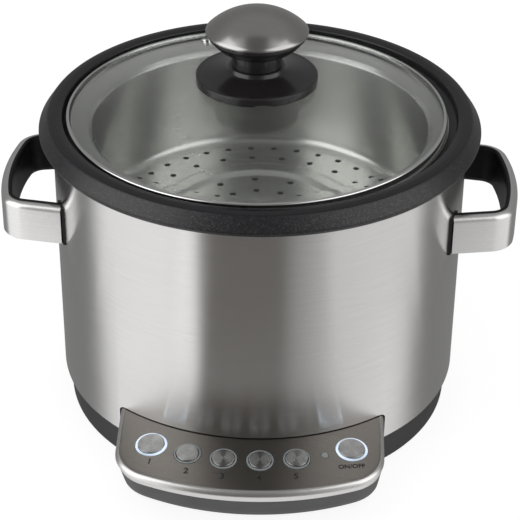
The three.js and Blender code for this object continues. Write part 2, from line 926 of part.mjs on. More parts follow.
// Bowl: one pressed skin from the edge of the rim to the middle of the floor
const rimRadius = drumRadius + rimOverhang;
const seatEdge = rimTop - lipDrop - seatDepth;
const seatSlope = seatRise / seatWidth;
const bowlSkin = rounded([
  [rimRadius - rimEdgeInset, rimEdge],
  [rimRadius, rimEdge + rimBulgeHeight, rimRounding],
  [lipRadius + rimTopWidth, rimTop - rimCrown / 2, shoulderRounding],
  [lipRadius + rimTopWidth / 2, rimTop + rimCrown / 2],
  [lipRadius, rimTop - lipDrop, lipRounding],
  [lipRadius - rimCrown / 2, seatEdge],
  [wallRadius, seatEdge - seatRise, shoulderRounding],
  [wallRadius - bowlTaper, bowlFloor, bowlCorner, bendSteps],
  [0, bowlFloor],
]);

function bowl() {
  return revolve(sheetSection(bowlSkin, bowlWall));
}

// Steamer tray: its flange lies on the bowl's sloping seat
const trayLift = (gap + traySheet) * Math.hypot(1, seatSlope);

function trayFlangeHeight(radius) {
  return seatEdge - seatSlope * (lipRadius - rimCrown / 2 - radius) + trayLift;
}

const trayRimTop = trayFlangeHeight(trayRim);
const trayFloor = trayRimTop - trayDepth;

function tray() {
  const flangeEnd = trayRim - trayFlange;
  const wallTop = flangeEnd - trayStep;
  const wallFoot = wallTop - trayTaper;
  const ridgeInner = wallFoot * ridgeShare;
  const skin = rounded([
    [trayRim, trayRimTop],
    [flangeEnd, trayFlangeHeight(flangeEnd), trayFlangeRounding],
    [wallTop, trayFlangeHeight(flangeEnd) - trayStep],
    [wallFoot, trayFloor, trayCorner, bendSteps],
    [ridgeInner + ridgeWidth + ridgeSlope, trayFloor],
    [ridgeInner + ridgeWidth, trayFloor + ridgeHeight],
    [ridgeInner, trayFloor + ridgeHeight],
    [ridgeInner - ridgeSlope, trayFloor],
    [0, trayFloor],
  ]);
  const holes = holeRingShares.flatMap((ring) => Array.from({ length: ring.count }, (unused, k) => {
    const angle = holeTurn + k * 2 * Math.PI / ring.count;
    const radius = wallFoot * ring.radius;
    const spot = [radius * Math.sin(angle), radius * Math.cos(angle)];
    return toSolid(cylinder(holeRadius, trayFloor - overrun, trayFloor + overrun, holeSides, spot));
  }));
  return cut(revolve(sheetSection(skin, traySheet)), holes);
}

// Lid: domed glass in a steel band, with a vent grommet and a knob
const bandBottom = trayRimTop + gap;
const glassBottom = bandBottom + bandSheet + gap;
const glassEdgeTop = glassBottom + glassThickness;
const bandTop = glassEdgeTop + gap + bandSheet;
const bandInside = lidRadius - bandLip;
const domeChord = bandInside - glassSkirt;
const domeRadius = (domeChord ** 2 + glassRise ** 2) / (2 * glassRise);
const domeCentre = glassEdgeTop + glassRise - domeRadius;

function domeHeight(radius, offset = 0) {
  return domeCentre + Math.sqrt((domeRadius + offset) ** 2 - radius ** 2);
}

function domeArc(from, to, offset, steps) {
  return Array.from({ length: steps + 1 }, (unused, k) => {
    const radius = from + (to - from) * k / steps;
    return [radius, domeHeight(radius, offset)];
  });
}

const ventPlace = ventPlaceShares.map((share) => share * lidRadius);
const ventRadiusAt = Math.hypot(ventPlace[0], ventPlace[1]);
const ventTilt = Math.asin(ventRadiusAt / domeRadius);

function ventFrame() {
  const frame = new THREE.Object3D();
  frame.position.set(ventPlace[0], ventPlace[1], domeHeight(ventRadiusAt));
  const towards = Math.atan2(ventPlace[1], ventPlace[0]);
  frame.rotation.set(0, ventTilt, towards, 'ZYX');
  frame.updateMatrix();
  return frame;
}

function glass() {
  const outline = [
    ...domeArc(glassBore, domeChord, 0, domeSteps),
    [lidRadius - bandSheet - gap, glassEdgeTop],
    [lidRadius - bandSheet - gap, glassBottom],
    ...domeArc(domeChord - glassThickness / 2, glassBore, -glassThickness, domeSteps - 1),
  ];
  const bore = cylinder(ventRadius - ventCollar + gap, -overrun, overrun, smallSides);
  return revolve(outline).subtract(moved(bore, ventFrame().matrix));
}

function band() {
  return revolve([
    [bandInside, bandTop],
    [lidRadius - bandRounding, bandTop],
    [lidRadius, bandTop - bandRounding],
    [lidRadius, bandBottom],
    [bandInside, bandBottom],
    [bandInside, bandBottom + bandSheet],
    [lidRadius - bandSheet, bandBottom + bandSheet],
    [lidRadius - bandSheet, bandTop - bandSheet],
    [bandInside, bandTop - bandSheet],
  ]);
}

function vent() {
  const neck = ventRadius - ventCollar;
  return revolve([
    [ventBore, ventCollar + gap],
    [neck, ventCollar + gap],
    [ventRadius, gap + ventCollar / 2],
    [ventRadius, gap],
    [neck, gap],
    [neck, -glassThickness - ventPlay],
    [ventRadius, -glassThickness - ventPlay],
    [ventRadius, -glassThickness - ventPlay - ventCollar],
    [ventBore, -glassThickness - ventPlay - ventCollar],
  ], smallSides);
}

function addLid() {
  const lid = new THREE.Group();
  lid.position.x = lidRest;
  place('lid_glass', glass(), 'glass', lid);
  place('lid_band', band(), 'polishedSteel', lid);
  const frame = ventFrame();
  place('lid_vent', vent(), 'polishedSteel', frame);
  lid.add(frame);

  const baseEdge = domeHeight(knobBaseRadius, gap);
  const baseTop = baseEdge + knobBaseHeight;
  const collarFootZ = baseTop + knobBaseCone;
  const collarTopZ = collarFootZ + collarHeight;
  const tenonHole = knobTenonRadius + gap;
  place('knob_base', revolve([
    ...domeArc(tenonHole, knobBaseRadius, gap, bendSteps),
    [knobBaseRadius + gap, baseTop - knobBaseBevel],
    [knobBaseRadius - knobBaseBevel, baseTop],
    ...rounded([
      [knobBaseRadius - collarRadius, collarFootZ - knobBaseCone / 2],
      [collarRadius, collarFootZ, collarHeight],
      [stemRadius + gap, collarTopZ, 0],
    ]),
    [tenonHole, collarTopZ],
  ], knobSides), 'blackPlastic', lid);

  const stemFoot = collarTopZ + gap;
  const flareFoot = stemFoot + stemHeight;
  const flareTop = flareFoot + knobFlareHeight;
  const gripTop = flareTop + knobRimHeight;
  const tenonEnd = domeHeight(0) + gap;
  const flare = new THREE.QuadraticBezierCurve(
    new THREE.Vector2(stemRadius, flareFoot),
    new THREE.Vector2((stemRadius + knobRimRadius) / 2, flareFoot),
    new THREE.Vector2(knobRimRadius, flareTop),
  );
  const pilot = knobScrewRadius + gap;
  const screwEnd = tenonEnd - glassThickness + knobScrewReach;
  place('knob_grip', revolve([
    [pilot, tenonEnd],
    [knobTenonRadius, tenonEnd],
    [knobTenonRadius, stemFoot],
    [stemRadius, stemFoot],
    ...flare.getPoints(domeSteps).map(({ x, y }) => [x, y]),
    [knobRimRadius, gripTop],
    [0, gripTop],
    [0, screwEnd + gap],
    [pilot, screwEnd + gap],
  ], knobSides), 'blackPlastic', lid);

  const capFoot = gripTop + gap;
  const capRadiusOf = (capRadius ** 2 + capRise ** 2) / (2 * capRise);
  const capCentre = capFoot + capSkirt + capRise - capRadiusOf;
  const capLean = Math.asin(capRadius / capRadiusOf);
  const upright = Math.PI / 2;
  const capInside = capRadiusOf - capSheet;
  const dome = arc([0, capCentre], capRadiusOf, upright - capLean, upright, domeSteps);
  const underDome = arc([0, capCentre], capInside, upright, upright - capLean, domeSteps - 1);
  place('knob_cap', revolve([
    [capRadius - capSheet, capFoot],
    [capRadius, capFoot + capSkirt / 2],
    ...dome,
    ...underDome.slice(0, -1),
    [capRadius - 2 * capSheet, capFoot + capSkirt],
    [capRadius - 2 * capSheet, capFoot],
  ], knobSides), 'steel', lid);

  const glassUnder = domeHeight(0, -glassThickness);
  const washerTop = Math.min(glassUnder, domeHeight(washerRadius, -glassThickness)) - gap;
  const headTop = washerTop - washerThickness - gap;
  place('knob_washer', revolve([
    [pilot, washerTop],
    [washerRadius, washerTop],
    [washerRadius, washerTop - washerThickness],
    [pilot, washerTop - washerThickness],
  ], footSides), 'rubber', lid);
  place('knob_screw', revolve([
    [0, headTop - screwHeadHeight],
    [knobScrewHead - gap, headTop - screwHeadHeight],
    [knobScrewHead, headTop],
    [knobScrewRadius, headTop],
    [knobScrewRadius, screwEnd],
    [0, screwEnd],
  ], smallSides), 'polishedSteel', lid);
  cooker.add(lid);
}

// Handles: a steel band round a moulded grip, screwed to the drum through gaskets
const handleTop = rimEdge - handleDrop;
const handleBottom = handleTop - handleHeight;
const handleRadius = drumRadius + handleReach;
const armStart = new THREE.Vector2(Math.sqrt(drumRadius ** 2 - handleSpan ** 2), handleSpan);
const armAlong = new THREE.Vector2(Math.cos(handleTaper), -Math.sin(handleTaper));
const armOut = new THREE.Vector2(Math.sin(handleTaper), Math.cos(handleTaper));

// Stations along the outer face, from the back arm round to the front arm
function handleStations() {
  const inner = handleRadius - handleCorner;
  const base = armStart.clone().addScaledVector(armOut, -handleCorner);
  const along = base.dot(armAlong);
  const travel = -along + Math.sqrt(along ** 2 - base.lengthSq() + inner ** 2);
  const centre = base.clone().addScaledVector(armAlong, travel);
  const cornerEnd = centre.angle();
  const cornerStart = armOut.angle();
  const line = [-overrun, travel].map((distance) => ({
    point: armStart.clone().addScaledVector(armAlong, distance),
    normal: armOut.clone(),
  }));
  const cornerSteps = 3;
  const corner = Array.from({ length: cornerSteps }, (unused, k) => {
    const angle = cornerStart + (cornerEnd - cornerStart) * (k + 1) / cornerSteps;
    const normal = new THREE.Vector2(Math.cos(angle), Math.sin(angle));
    return { point: centre.clone().addScaledVector(normal, handleCorner), normal };
  });
  const sideSteps = 2;
  const side = Array.from({ length: sideSteps }, (unused, k) => {
    const angle = cornerEnd * (1 - (k + 1) / sideSteps);
    const normal = new THREE.Vector2(Math.cos(angle), Math.sin(angle));
    return { point: normal.clone().multiplyScalar(handleRadius), normal };
  });
  const half = [...line, ...corner, ...side];
  const front = half.slice(0, -1).reverse().map(({ point, normal }) => ({
    point: new THREE.Vector2(point.x, -point.y),
    normal: new THREE.Vector2(normal.x, -normal.y),
  }));
  return [...half, ...front];
}

function alongHandle(section) {
  return sweep(handleStations().map(({ point, normal }) => section.map(([depth, z]) => [
    point.x - normal.x * depth,
    point.y - normal.y * depth,
    z,
  ])));
}

// A block along one arm, cut later to the drum's curve; side is 1 at the back and -1 at the front
function armBlock(side, border) {
  const section = [
    [-border, handleBottom - border],
    [-border, handleTop + border],
    [gripFoot + border, handleTop + border],
    [gripFoot + border, handleBottom - border],
  ];
  return sweep([-handleCorner, handleCorner].map((distance) => {
    const point = armStart.clone().addScaledVector(armAlong, distance);
    return section.map(([depth, z]) => [
      point.x - armOut.x * depth,
      side * (point.y - armOut.y * depth),
      z,
    ]);
  }));
}

// A frame whose Z runs out along the middle of one arm, from the drum's inner face
function armFrame(side) {
  const depth = (gripFoot + handleSheet) / 2;
  const middle = armStart.clone().addScaledVector(armOut, -depth);
  const lean = middle.angle() + handleTaper;
  const headRoom = handleScrewHead * Math.sin(lean) + gap;
  const reach = middle.dot(armAlong);
  const target = drumInside * Math.cos(Math.PI / ringSides) - headRoom;
  const travel = -reach + Math.sqrt(reach ** 2 - middle.lengthSq() + target ** 2);
  const seat = middle.clone().addScaledVector(armAlong, travel);
  const frame = new THREE.Object3D();
  frame.position.set(seat.x, side * seat.y, handleBottom + handleScrewRise);
  frame.rotation.set(0, Math.PI / 2, -side * handleTaper, 'ZYX');
  frame.updateMatrix();
  return frame;
}

function armBore(side, radius) {
  return moved(cylinder(radius, -overrun, handleScrewReach + 2 * overrun, smallSides), armFrame(side).matrix);
}

function shellBand() {
  const roll = arc([handleRoll, handleTop - handleRoll], handleRoll, Math.PI, Math.PI / 2, bendSteps);
  const under = arc([handleRoll, handleTop - handleRoll], handleRoll - handleSheet,
    Math.PI / 2, Math.PI, bendSteps);
  return [[0, handleBottom], ...roll, ...under, [handleSheet, handleBottom]];
}

function gripSection() {
  const start = handleSheet + gap;
  const roll = arc([handleRoll, handleTop - handleRoll], handleRoll - start, Math.PI, Math.PI / 2, 2);
  const lipStart = handleRoll + gap;
  const lipTop = handleTop + gripLipProud;
  const outer = [
    [start, handleBottom + gap],
    ...roll,
    [lipStart, handleTop - start],
    [lipStart, lipTop],
  ];
  const lipEnd = lipStart + gripLip;
  const inner = [
    [gripFoot - gripHeel, handleBottom + gap],
    [gripFoot, handleBottom + gripFootRise],
    [(gripFoot + lipEnd) / 2 + gap, (handleBottom + handleTop) / 2],
    [lipEnd + gap, handleTop - handleRoll],
    [lipEnd, handleTop - gap],
    [lipEnd, lipTop],
  ];
  return [...outer, ...inner.reverse()];
}

function addHandle(name, turn) {
  const handle = new THREE.Group();
  handle.rotation.z = turn;
  const gasketInside = drumRadius + gap;
  const gasketOutside = gasketInside + gasketThickness;
  const ring = (from, to) => revolve([
    [from, handleBottom - overrun],
    [to, handleBottom - overrun],
    [to, handleTop + overrun],
    [from, handleTop + overrun],
  ]);
  const drum = ring(0, gasketOutside + gap);
  const bores = [1, -1].map((side) => armBore(side, handleScrewRadius + gap / 2));
  const blind = bores.map((bore) => bore.intersect(ring(0, drumRadius + handleScrewReach)));
  place(`handle_shell_${name}`, alongHandle(shellBand()).subtract(drum), 'steel', handle);
  place(`handle_grip_${name}`, cut(alongHandle(gripSection()), [drum, ...blind]), 'blackPlastic', handle);
  const gasket = ring(gasketInside, gasketOutside);
  [1, -1].forEach((side) => {
    const end = side * Math.cos(turn) > 0 ? 'back' : 'front';
    const strip = armBlock(side, gasketBorder).intersect(gasket);
    place(`handle_gasket_${name}_${end}`, cut(strip, bores), 'rubber', handle);
    const frame = armFrame(side);
    const screw = revolve([
      [0, -screwHeadHeight],
      [handleScrewHead, -screwHeadHeight],
      [handleScrewHead, 0],
      [handleScrewRadius - gap / 2, 0],
      [handleScrewRadius - gap / 2, handleScrewReach],
      [0, handleScrewReach],
    ], screwSides);
    place(`handle_screw_${name}_${end}`, screw, 'polishedSteel', frame);
    handle.add(frame);
  });
  cooker.add(handle);
  return bores;
}

// Assembly
const rightHoles = addHandle('right', 0);
const leftHoles = addHandle('left', Math.PI);
const halfTurn = new THREE.Matrix4().makeRotationZ(Math.PI);
const handleHoles = [...rightHoles, ...leftHoles.map((bore) => moved(fromSolid(bore), halfTurn))];
place('base_plinth', plinth(), 'darkPlastic');
place('outer_shell', shell(handleHoles), 'steel');
place('top_collar', collar(), 'blackPlastic');
place('well_liner', liner(), 'aluminium');
place('hotplate', hotplate(), 'aluminium');
place('power_inlet', inlet(), 'blackPlastic');
place('cooking_bowl', bowl(), 'nonStick');
place('steamer_tray', tray(), 'traySteel');
addFeet();
addSensor();
addPanel();
addLid();

// The origin is under the middle of the whole outline, so the drum's axis sits behind it
const panelFront = panelShape(panelEdgeHeight, 0).radius;
const rimReach = Math.max(...bowlSkin.map(([radius]) => radius));
cooker.position.y = (panelFront - rimReach) / 2;

export default cooker;
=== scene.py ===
import math

import bmesh
import bpy
from mathutils import Euler, Matrix, Vector
from mathutils.kdtree import KDTree


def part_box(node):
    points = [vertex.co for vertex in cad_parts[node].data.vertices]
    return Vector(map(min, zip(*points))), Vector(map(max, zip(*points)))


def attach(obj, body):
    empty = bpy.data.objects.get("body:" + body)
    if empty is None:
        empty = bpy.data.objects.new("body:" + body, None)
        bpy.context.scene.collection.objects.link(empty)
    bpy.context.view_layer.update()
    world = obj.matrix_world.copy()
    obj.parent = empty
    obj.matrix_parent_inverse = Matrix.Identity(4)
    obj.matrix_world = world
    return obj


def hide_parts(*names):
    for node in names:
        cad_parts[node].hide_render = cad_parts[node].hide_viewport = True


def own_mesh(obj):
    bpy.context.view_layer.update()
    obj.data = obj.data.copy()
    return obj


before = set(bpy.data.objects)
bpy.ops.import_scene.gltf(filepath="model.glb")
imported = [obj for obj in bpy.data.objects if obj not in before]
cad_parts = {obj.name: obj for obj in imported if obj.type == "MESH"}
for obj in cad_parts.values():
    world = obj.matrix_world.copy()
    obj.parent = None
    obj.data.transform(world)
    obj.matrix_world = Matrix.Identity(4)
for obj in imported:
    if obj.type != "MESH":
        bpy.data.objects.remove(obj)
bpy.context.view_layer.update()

MM = 0.001

# The drum stands behind the origin, because the control panel reaches forward
bowl_low, bowl_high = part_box("cooking_bowl")
DRUM_Y = (bowl_low[1] + bowl_high[1]) / 2 / MM
band_low, band_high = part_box("lid_band")
LID_X = (band_low[0] + band_high[0]) / 2 / MM

# Sizes shared by several pieces, in millimetres
GAP = 0.3
DRUM_R = 133.6
DRUM_SHEET = 1.0
DRUM_FOOT = 25.5
BASE_Z = 3.0
PLINTH_TOP = 25.2
PLINTH_HEIGHT = 22.2
RIM_EDGE = 198.0
SHELL_TOP = 204.0
RIM_TOP = 210.0
SEAT_R = 126.75
SEAT_EDGE = 204.1
SEAT_SLOPE = 3.0 / 9.8
INLET_Z = 53.4
INLET_HALF = (15, 12)


# Camera

def set_camera():
    lens = bpy.data.cameras.new("photo_lens")
    lens.sensor_width = 36
    lens.lens = 121.98
    lens.clip_end = 50
    camera = bpy.data.objects.new("photo_camera", lens)
    camera.location = (0.0334, -0.99334, 0.72651)
    camera.rotation_euler = Euler([math.radians(turn) for turn in (58.03, -0.461, 2.133)])
    bpy.context.scene.collection.objects.link(camera)
    bpy.context.scene.camera = camera


set_camera()


# Outlines, in millimetres

def arc(centre, radius, start, end, steps):
    """Points of an arc, with both ends."""
    points = []
    for k in range(steps + 1):
        angle = start + (end - start) * k / steps
        points.append((centre[0] + radius * math.cos(angle), centre[1] + radius * math.sin(angle)))
    return points


def softened(corners, steps=6):
    """An open path whose corners (r, z, radius) are rounded."""
    points = []
    for k, corner in enumerate(corners):
        here = Vector(corner[:2])
        radius = corner[2] if len(corner) > 2 else 0
        if radius == 0 or k in (0, len(corners) - 1):
            points.append(tuple(here))
            continue
        before = Vector(corners[k - 1][:2]) - here
        after = Vector(corners[k + 1][:2]) - here
        room = min(before.length, after.length) / 2
        before.normalize()
        after.normalize()
        half = math.acos(max(-1, min(1, before.dot(after)))) / 2
        reach = min(radius / math.tan(half), room)
        bend = reach * math.tan(half)
        middle = here + (before + after).normalized() * bend / math.sin(half)
        start = here + before * reach - middle
        end = here + after * reach - middle
        turn = math.atan2(start.x * end.y - start.y * end.x, start.dot(end))
        first = math.atan2(start.y, start.x)
        points += arc(middle, bend, first, first + turn, steps)
    return points


def beside(path, distance):
    """The path moved to the left of its direction."""
    normals = []
    for here, there in zip(path, path[1:]):
        along = (Vector(there) - Vector(here)).normalized()
        normals.append(Vector((-along.y, along.x)))
    moved = []
    for k, point in enumerate(path):
        first = normals[max(k - 1, 0)]
        second = normals[min(k, len(normals) - 1)]
        mean = (first + second).normalized()
        moved.append(tuple(Vector(point) + mean * distance / mean.dot(first)))
    return moved


def sheet_outline(skin, thickness):
    """A pressed sheet in section, from one side of it."""
    return skin + beside(skin, thickness)[::-1]


# Making and shaping pieces

def deselect_all():
    if bpy.context.mode != "OBJECT":
        bpy.ops.object.mode_set(mode="OBJECT")
    bpy.ops.object.select_all(action="DESELECT")


def pick(piece):
    deselect_all()
    piece.select_set(True)
    bpy.context.view_layer.objects.active = piece


def apply_place():
    bpy.ops.object.transform_apply(location=True, rotation=True, scale=True)


def draw_chain(name, points):
    """A chain of edges, drawn from one point by extruding it. Stays in edit mode."""
    deselect_all()
    bpy.ops.mesh.primitive_plane_add(size=MM, location=points[0])
    piece = bpy.context.object
    piece.name = name
    piece.data.name = name
    apply_place()
    bpy.ops.object.mode_set(mode="EDIT")
    bpy.ops.mesh.merge(type="CENTER")
    for here, there in zip(points, points[1:]):
        bpy.ops.mesh.extrude_vertices_move(TRANSFORM_OT_translate={"value": there - here})
    return piece


def tidy_mesh():
    """Merges doubles and points the faces outwards. Leaves edit mode."""
    bpy.ops.mesh.select_all(action="SELECT")
    bpy.ops.mesh.remove_doubles(threshold=0.002 * MM)
    bpy.ops.mesh.dissolve_degenerate(threshold=0.001 * MM)
    bpy.ops.mesh.select_all(action="SELECT")
    bpy.ops.mesh.normals_make_consistent(inside=False)
    bpy.ops.object.mode_set(mode="OBJECT")


def smooth(piece, angle=35):
    pick(piece)
    bpy.ops.object.shade_smooth_by_angle(angle=math.radians(angle))


def turned(name, outline, sides=160, centre=None):
    """A closed outline (r, z) turned round an upright axis."""
    x, y = centre or (0, DRUM_Y)
    points = [Vector((x + r, y, z)) * MM for r, z in outline]
    if outline[0][0] > 0 or outline[-1][0] > 0:
        points.append(points[0])
    piece = draw_chain(name, points)
    bpy.ops.mesh.select_all(action="SELECT")
    bpy.ops.mesh.spin(steps=sides, angle=math.tau, center=(x * MM, y * MM, 0), axis=(0, 0, 1))
    tidy_mesh()
    smooth(piece)
    return piece


def finder(ring):
    """Tells which point of a ring lies at a place."""
    tree = KDTree(len(ring))
    for k, point in enumerate(ring):
        tree.insert(point, k)
    tree.balance()
    return tree


def lofted(name, rings, closed=True, capped=True):
    """Rings of equal count joined in order, each extruded from the one before."""
    rings = [[Vector(point) * MM for point in ring] for ring in rings]
    first = rings[0] + rings[0][:1] if closed else rings[0]
    piece = draw_chain(name, first)
    bpy.ops.mesh.select_all(action="SELECT")
    bpy.ops.mesh.remove_doubles(threshold=0.001 * MM)
    mesh = piece.data
    if capped and closed:
        bpy.ops.mesh.edge_face_add()
        bpy.ops.mesh.select_mode(type="EDGE")
    for ring_before, ring in zip(rings, rings[1:]):
        bpy.ops.mesh.extrude_region_move()
        spots = finder(ring_before)
        edit = bmesh.from_edit_mesh(mesh)
        for vertex in edit.verts:
            if vertex.select:
                vertex.co = ring[spots.find(vertex.co)[1]]
        bmesh.update_edit_mesh(mesh)
    bpy.ops.mesh.select_mode(type="VERT")
    tidy_mesh()
    smooth(piece)
    return piece


def apply_modifier(piece, kind, name, **settings):
    pick(piece)
    modifier = piece.modifiers.new(name, kind)
    for setting, value in settings.items():
        setattr(modifier, setting, value)
    bpy.ops.object.modifier_apply(modifier=modifier.name)


def cut_with(piece, tool, operation="DIFFERENCE"):
    apply_modifier(piece, "BOOLEAN", "cut", operation=operation, object=tool, solver="EXACT")
    bpy.data.objects.remove(tool, do_unlink=True)


def joined(pieces):
    pick(pieces[0])
    for piece in pieces:
        piece.select_set(True)
    bpy.ops.object.join()
    return pieces[0]


def upright_pin(name, x, y, low, high, radius, sides=24):
    deselect_all()
    bpy.ops.mesh.primitive_cylinder_add(
        vertices=sides,
        radius=radius * MM,
        depth=(high - low) * MM,
        location=(x * MM, y * MM, (low + high) / 2 * MM),
    )
    pin = bpy.context.object
    pin.name = name
    apply_place()
    return pin


def block(name, low, high):
    deselect_all()
    middle = [(a + b) / 2 * MM for a, b in zip(low, high)]
    bpy.ops.mesh.primitive_cube_add(size=1, location=middle)
    piece = bpy.context.object
    piece.name = name
    piece.scale = [(b - a) * MM for a, b in zip(low, high)]
    apply_place()
    return piece


def place_by(piece, matrix):
    """Moves a finished piece's mesh, and leaves the object at the origin."""
    piece.matrix_world = matrix
    pick(piece)
    apply_place()


# Wiring of node trees

class Wiring:
    """A node tree and the short calls that wire it."""

    def __init__(self, tree):
        self.tree = tree

    def feed(self, target, value):
        """Links an output to an input, or sets the input's value."""
        if isinstance(value, bpy.types.NodeSocket):
            self.tree.links.new(value, target)
        else:
            target.default_value = value

    def node(self, kind, inputs=None, **settings):
        node = self.tree.nodes.new("ShaderNode" + kind)
        for setting, value in settings.items():
            setattr(node, setting, value)
        for label, value in (inputs or {}).items():
            self.feed(node.inputs[label], value)
        return node

    def math(self, operation, *values):
        return self.node("Math", dict(enumerate(values)), operation=operation).outputs[0]

    def vector(self, operation, *values):
        node = self.node("VectorMath", dict(enumerate(values)), operation=operation)
        return node.outputs["Value" if operation == "LENGTH" else "Vector"]

    def parts(self, source):
        return self.node("SeparateXYZ", {"Vector": source}).outputs

    def between(self, source, start, end, low=0.0, high=1.0):
        """Maps the values from start to end on to those from low to high."""
        limits = {"From Min": start, "From Max": end, "To Min": low, "To Max": high}
        return self.node("MapRange", {"Value": source, **limits}).outputs["Result"]

    def spread(self, source, low, high):
        """Maps a 0 to 1 value on to a range."""
        return self.between(source, 0.0, 1.0, low, high)

    def blended(self, share, first, second):
        """Two shaders mixed."""
        return self.node("MixShader", {"Fac": share, 1: first, 2: second}).outputs["Shader"]

    def reflected(self, rays):
        """One for what is seen by reflection, and zero for the rest."""
        return self.math("GREATER_THAN", rays["Glossy Depth"], 0.5)

    def round_the_part(self, way, stops):
        """Colours by direction round the part, from stops of degrees and a colour with its alpha."""
        turn = self.node("Mapping", {"Vector": way, "Rotation": (0, 0, math.pi / 2)})
        around = self.node("TexGradient", {"Vector": turn.outputs["Vector"]}, gradient_type="RADIAL")
        ramp = self.node("ValToRGB", {"Fac": around.outputs["Fac"]})
        elements = ramp.color_ramp.elements
        while len(elements) > 1:
            elements.remove(elements[-1])
        elements[0].position = 0.5 + stops[0][0] / 360
        elements[0].color = stops[0][1]
        for degrees, colour in stops[1:]:
            elements.new(0.5 + degrees / 360).color = colour
        return ramp.outputs


# Shared effects

def new_group(name, inputs, outputs):
    group = bpy.data.node_groups.new(name, "ShaderNodeTree")
    for label, kind, value in inputs:
        socket = group.interface.new_socket(name=label, in_out="INPUT", socket_type=kind)
        if value is not None:
            socket.default_value = value
    for label in outputs:
        group.interface.new_socket(name=label, in_out="OUTPUT", socket_type="NodeSocketFloat")
    given = group.nodes.new("NodeGroupInput").outputs
    result = group.nodes.new("NodeGroupOutput").inputs
    return Wiring(group), given, result


def brush_lines_group():
    """Fine parallel scratches: noise stretched along the brushing."""
    wiring, given, result = new_group(
        "brush_lines",
        [("Place", "NodeSocketVector", None), ("Stretch", "NodeSocketVector", (1, 1, 1))],
        ["Lines", "Patches"],
    )
    stretch = wiring.node("Mapping", {"Vector": given["Place"], "Scale": given["Stretch"]}).outputs["Vector"]
    fine = wiring.node("TexNoise", {"Vector": stretch, "Scale": 1, "Detail": 4, "Roughness": 0.65})
    coarse = wiring.node("TexNoise", {"Vector": stretch, "Scale": 0.12, "Detail": 2})
    wiring.feed(result["Lines"], fine.outputs["Fac"])
    wiring.feed(result["Patches"], coarse.outputs["Fac"])
    return wiring.tree


def handling_group():
    """Soft patches where hands and cloths have passed."""
    wiring, given, result = new_group(
        "handling_marks",
        [("Place", "NodeSocketVector", None), ("Size", "NodeSocketFloat", 30.0)],
        ["Marks"],
    )
    where = {"Vector": given["Place"], "Scale": given["Size"]}
    noise = wiring.node("TexNoise", {**where, "Detail": 3, "Distortion": 0.6})
    wiring.feed(result["Marks"], noise.outputs["Fac"])
    return wiring.tree


def moulded_grain_group():
    """The fine spark-eroded grain of moulded plastic."""
    wiring, given, result = new_group(
        "moulded_grain",
        [("Place", "NodeSocketVector", None), ("Scale", "NodeSocketFloat", 2500.0)],
        ["Height"],
    )
    where = {"Vector": given["Place"], "Scale": given["Scale"]}
    cells = wiring.node("TexVoronoi", where)
    noise = wiring.node("TexNoise", {**where, "Detail": 2})
    wiring.feed(result["Height"], wiring.math("MULTIPLY", cells.outputs["Distance"], noise.outputs["Fac"]))
    return wiring.tree


BRUSH_LINES = brush_lines_group()
HANDLING = handling_group()
MOULDED_GRAIN = moulded_grain_group()


# Materials

BUMP_DEPTH = 0.05 * MM

# The rim's speckles fade in from its top down to this height
SPECKLES_FULL = 208.6


class Finish(Wiring):
    """One material and the short calls that shape it."""

    def __init__(self, name, colour, roughness, metallic=0.0):
        self.material = bpy.data.materials.new(name)
        self.material.use_nodes = True
        super().__init__(self.material.node_tree)
        self.shader = self.tree.nodes["Principled BSDF"]
        self.plain(Base_Color=(*colour, 1), Roughness=roughness, Metallic=metallic)
        self.place = self.node("TexCoord").outputs["Object"]

    def plain(self, **values):
        """Feeds the shader's inputs."""
        for label, value in values.items():
            self.feed(self.shader.inputs[label.replace("_", " ")], value)

    def effect(self, group, **values):
        return self.node("Group", {"Place": self.place, **values}, node_tree=group).outputs

    def handled(self, size, low, high):
        """Handling marks of a size, as values from low to high."""
        return self.spread(self.effect(HANDLING, Size=size)["Marks"], low, high)

    def mixed(self, mask, first, second, blend="MIX"):
        """Two colours mixed, each an output or a value."""
        node = self.node("Mix", data_type="RGBA", blend_type=blend)
        self.feed(node.inputs["Factor"], mask)
        slots = [socket for socket in node.inputs if socket.type == "RGBA"]
        for slot, colour in zip(slots, (first, second)):
            self.feed(slot, colour if isinstance(colour, bpy.types.NodeSocket) else (*colour, 1))
        return next(socket for socket in node.outputs if socket.type == "RGBA")

    def raised(self, height, strength):
        bump = self.node("Bump", {"Height": height, "Strength": strength, "Distance": BUMP_DEPTH})
        self.plain(Normal=bump.outputs["Normal"])

    def show(self, shader):
        """Shows a shader in place of the plain one."""
        self.feed(self.tree.nodes["Material Output"].inputs["Surface"], shader)


def spun(finish, centre_y):
    """Brushing in circles round the upright axis. Gives radius, height and a value slow to change."""
    outwards = finish.vector("SUBTRACT", finish.place, (0, centre_y, 0))
    flat = finish.vector("MULTIPLY", outwards, (1, 1, 0))
    finish.plain(Tangent=finish.vector("ADD", finish.vector("NORMALIZE", flat), (0, 0, 1)))
    parts = finish.parts(outwards)
    slow = finish.math("ADD", parts["X"], parts["Y"])
    ringed = {"X": finish.vector("LENGTH", flat), "Y": parts["Z"], "Z": slow}
    return finish.node("CombineXYZ", ringed).outputs["Vector"]


def brushed_metal(name, dark, light, roughness, stretch, rough_spread, bump=0.25, aniso=0.0, centre_y=None):
    finish = Finish(name, light, roughness, 1.0)
    if centre_y is not None:
        finish.place = spun(finish, centre_y)
    lines = finish.effect(BRUSH_LINES, Stretch=stretch)
    finish.colour = finish.mixed(lines["Lines"], dark, light)
    patches = finish.spread(lines["Patches"], roughness - rough_spread, roughness + rough_spread)
    shade = finish.math("ADD", patches, finish.handled(22.0, -0.03, 0.03))
    finish.plain(Base_Color=finish.colour, Roughness=shade)
    finish.raised(lines["Lines"], bump)
    if aniso:
        across = finish.node("CombineXYZ", {"Z": 1})
        finish.plain(Anisotropic=aniso, Tangent=across.outputs["Vector"])
    return finish


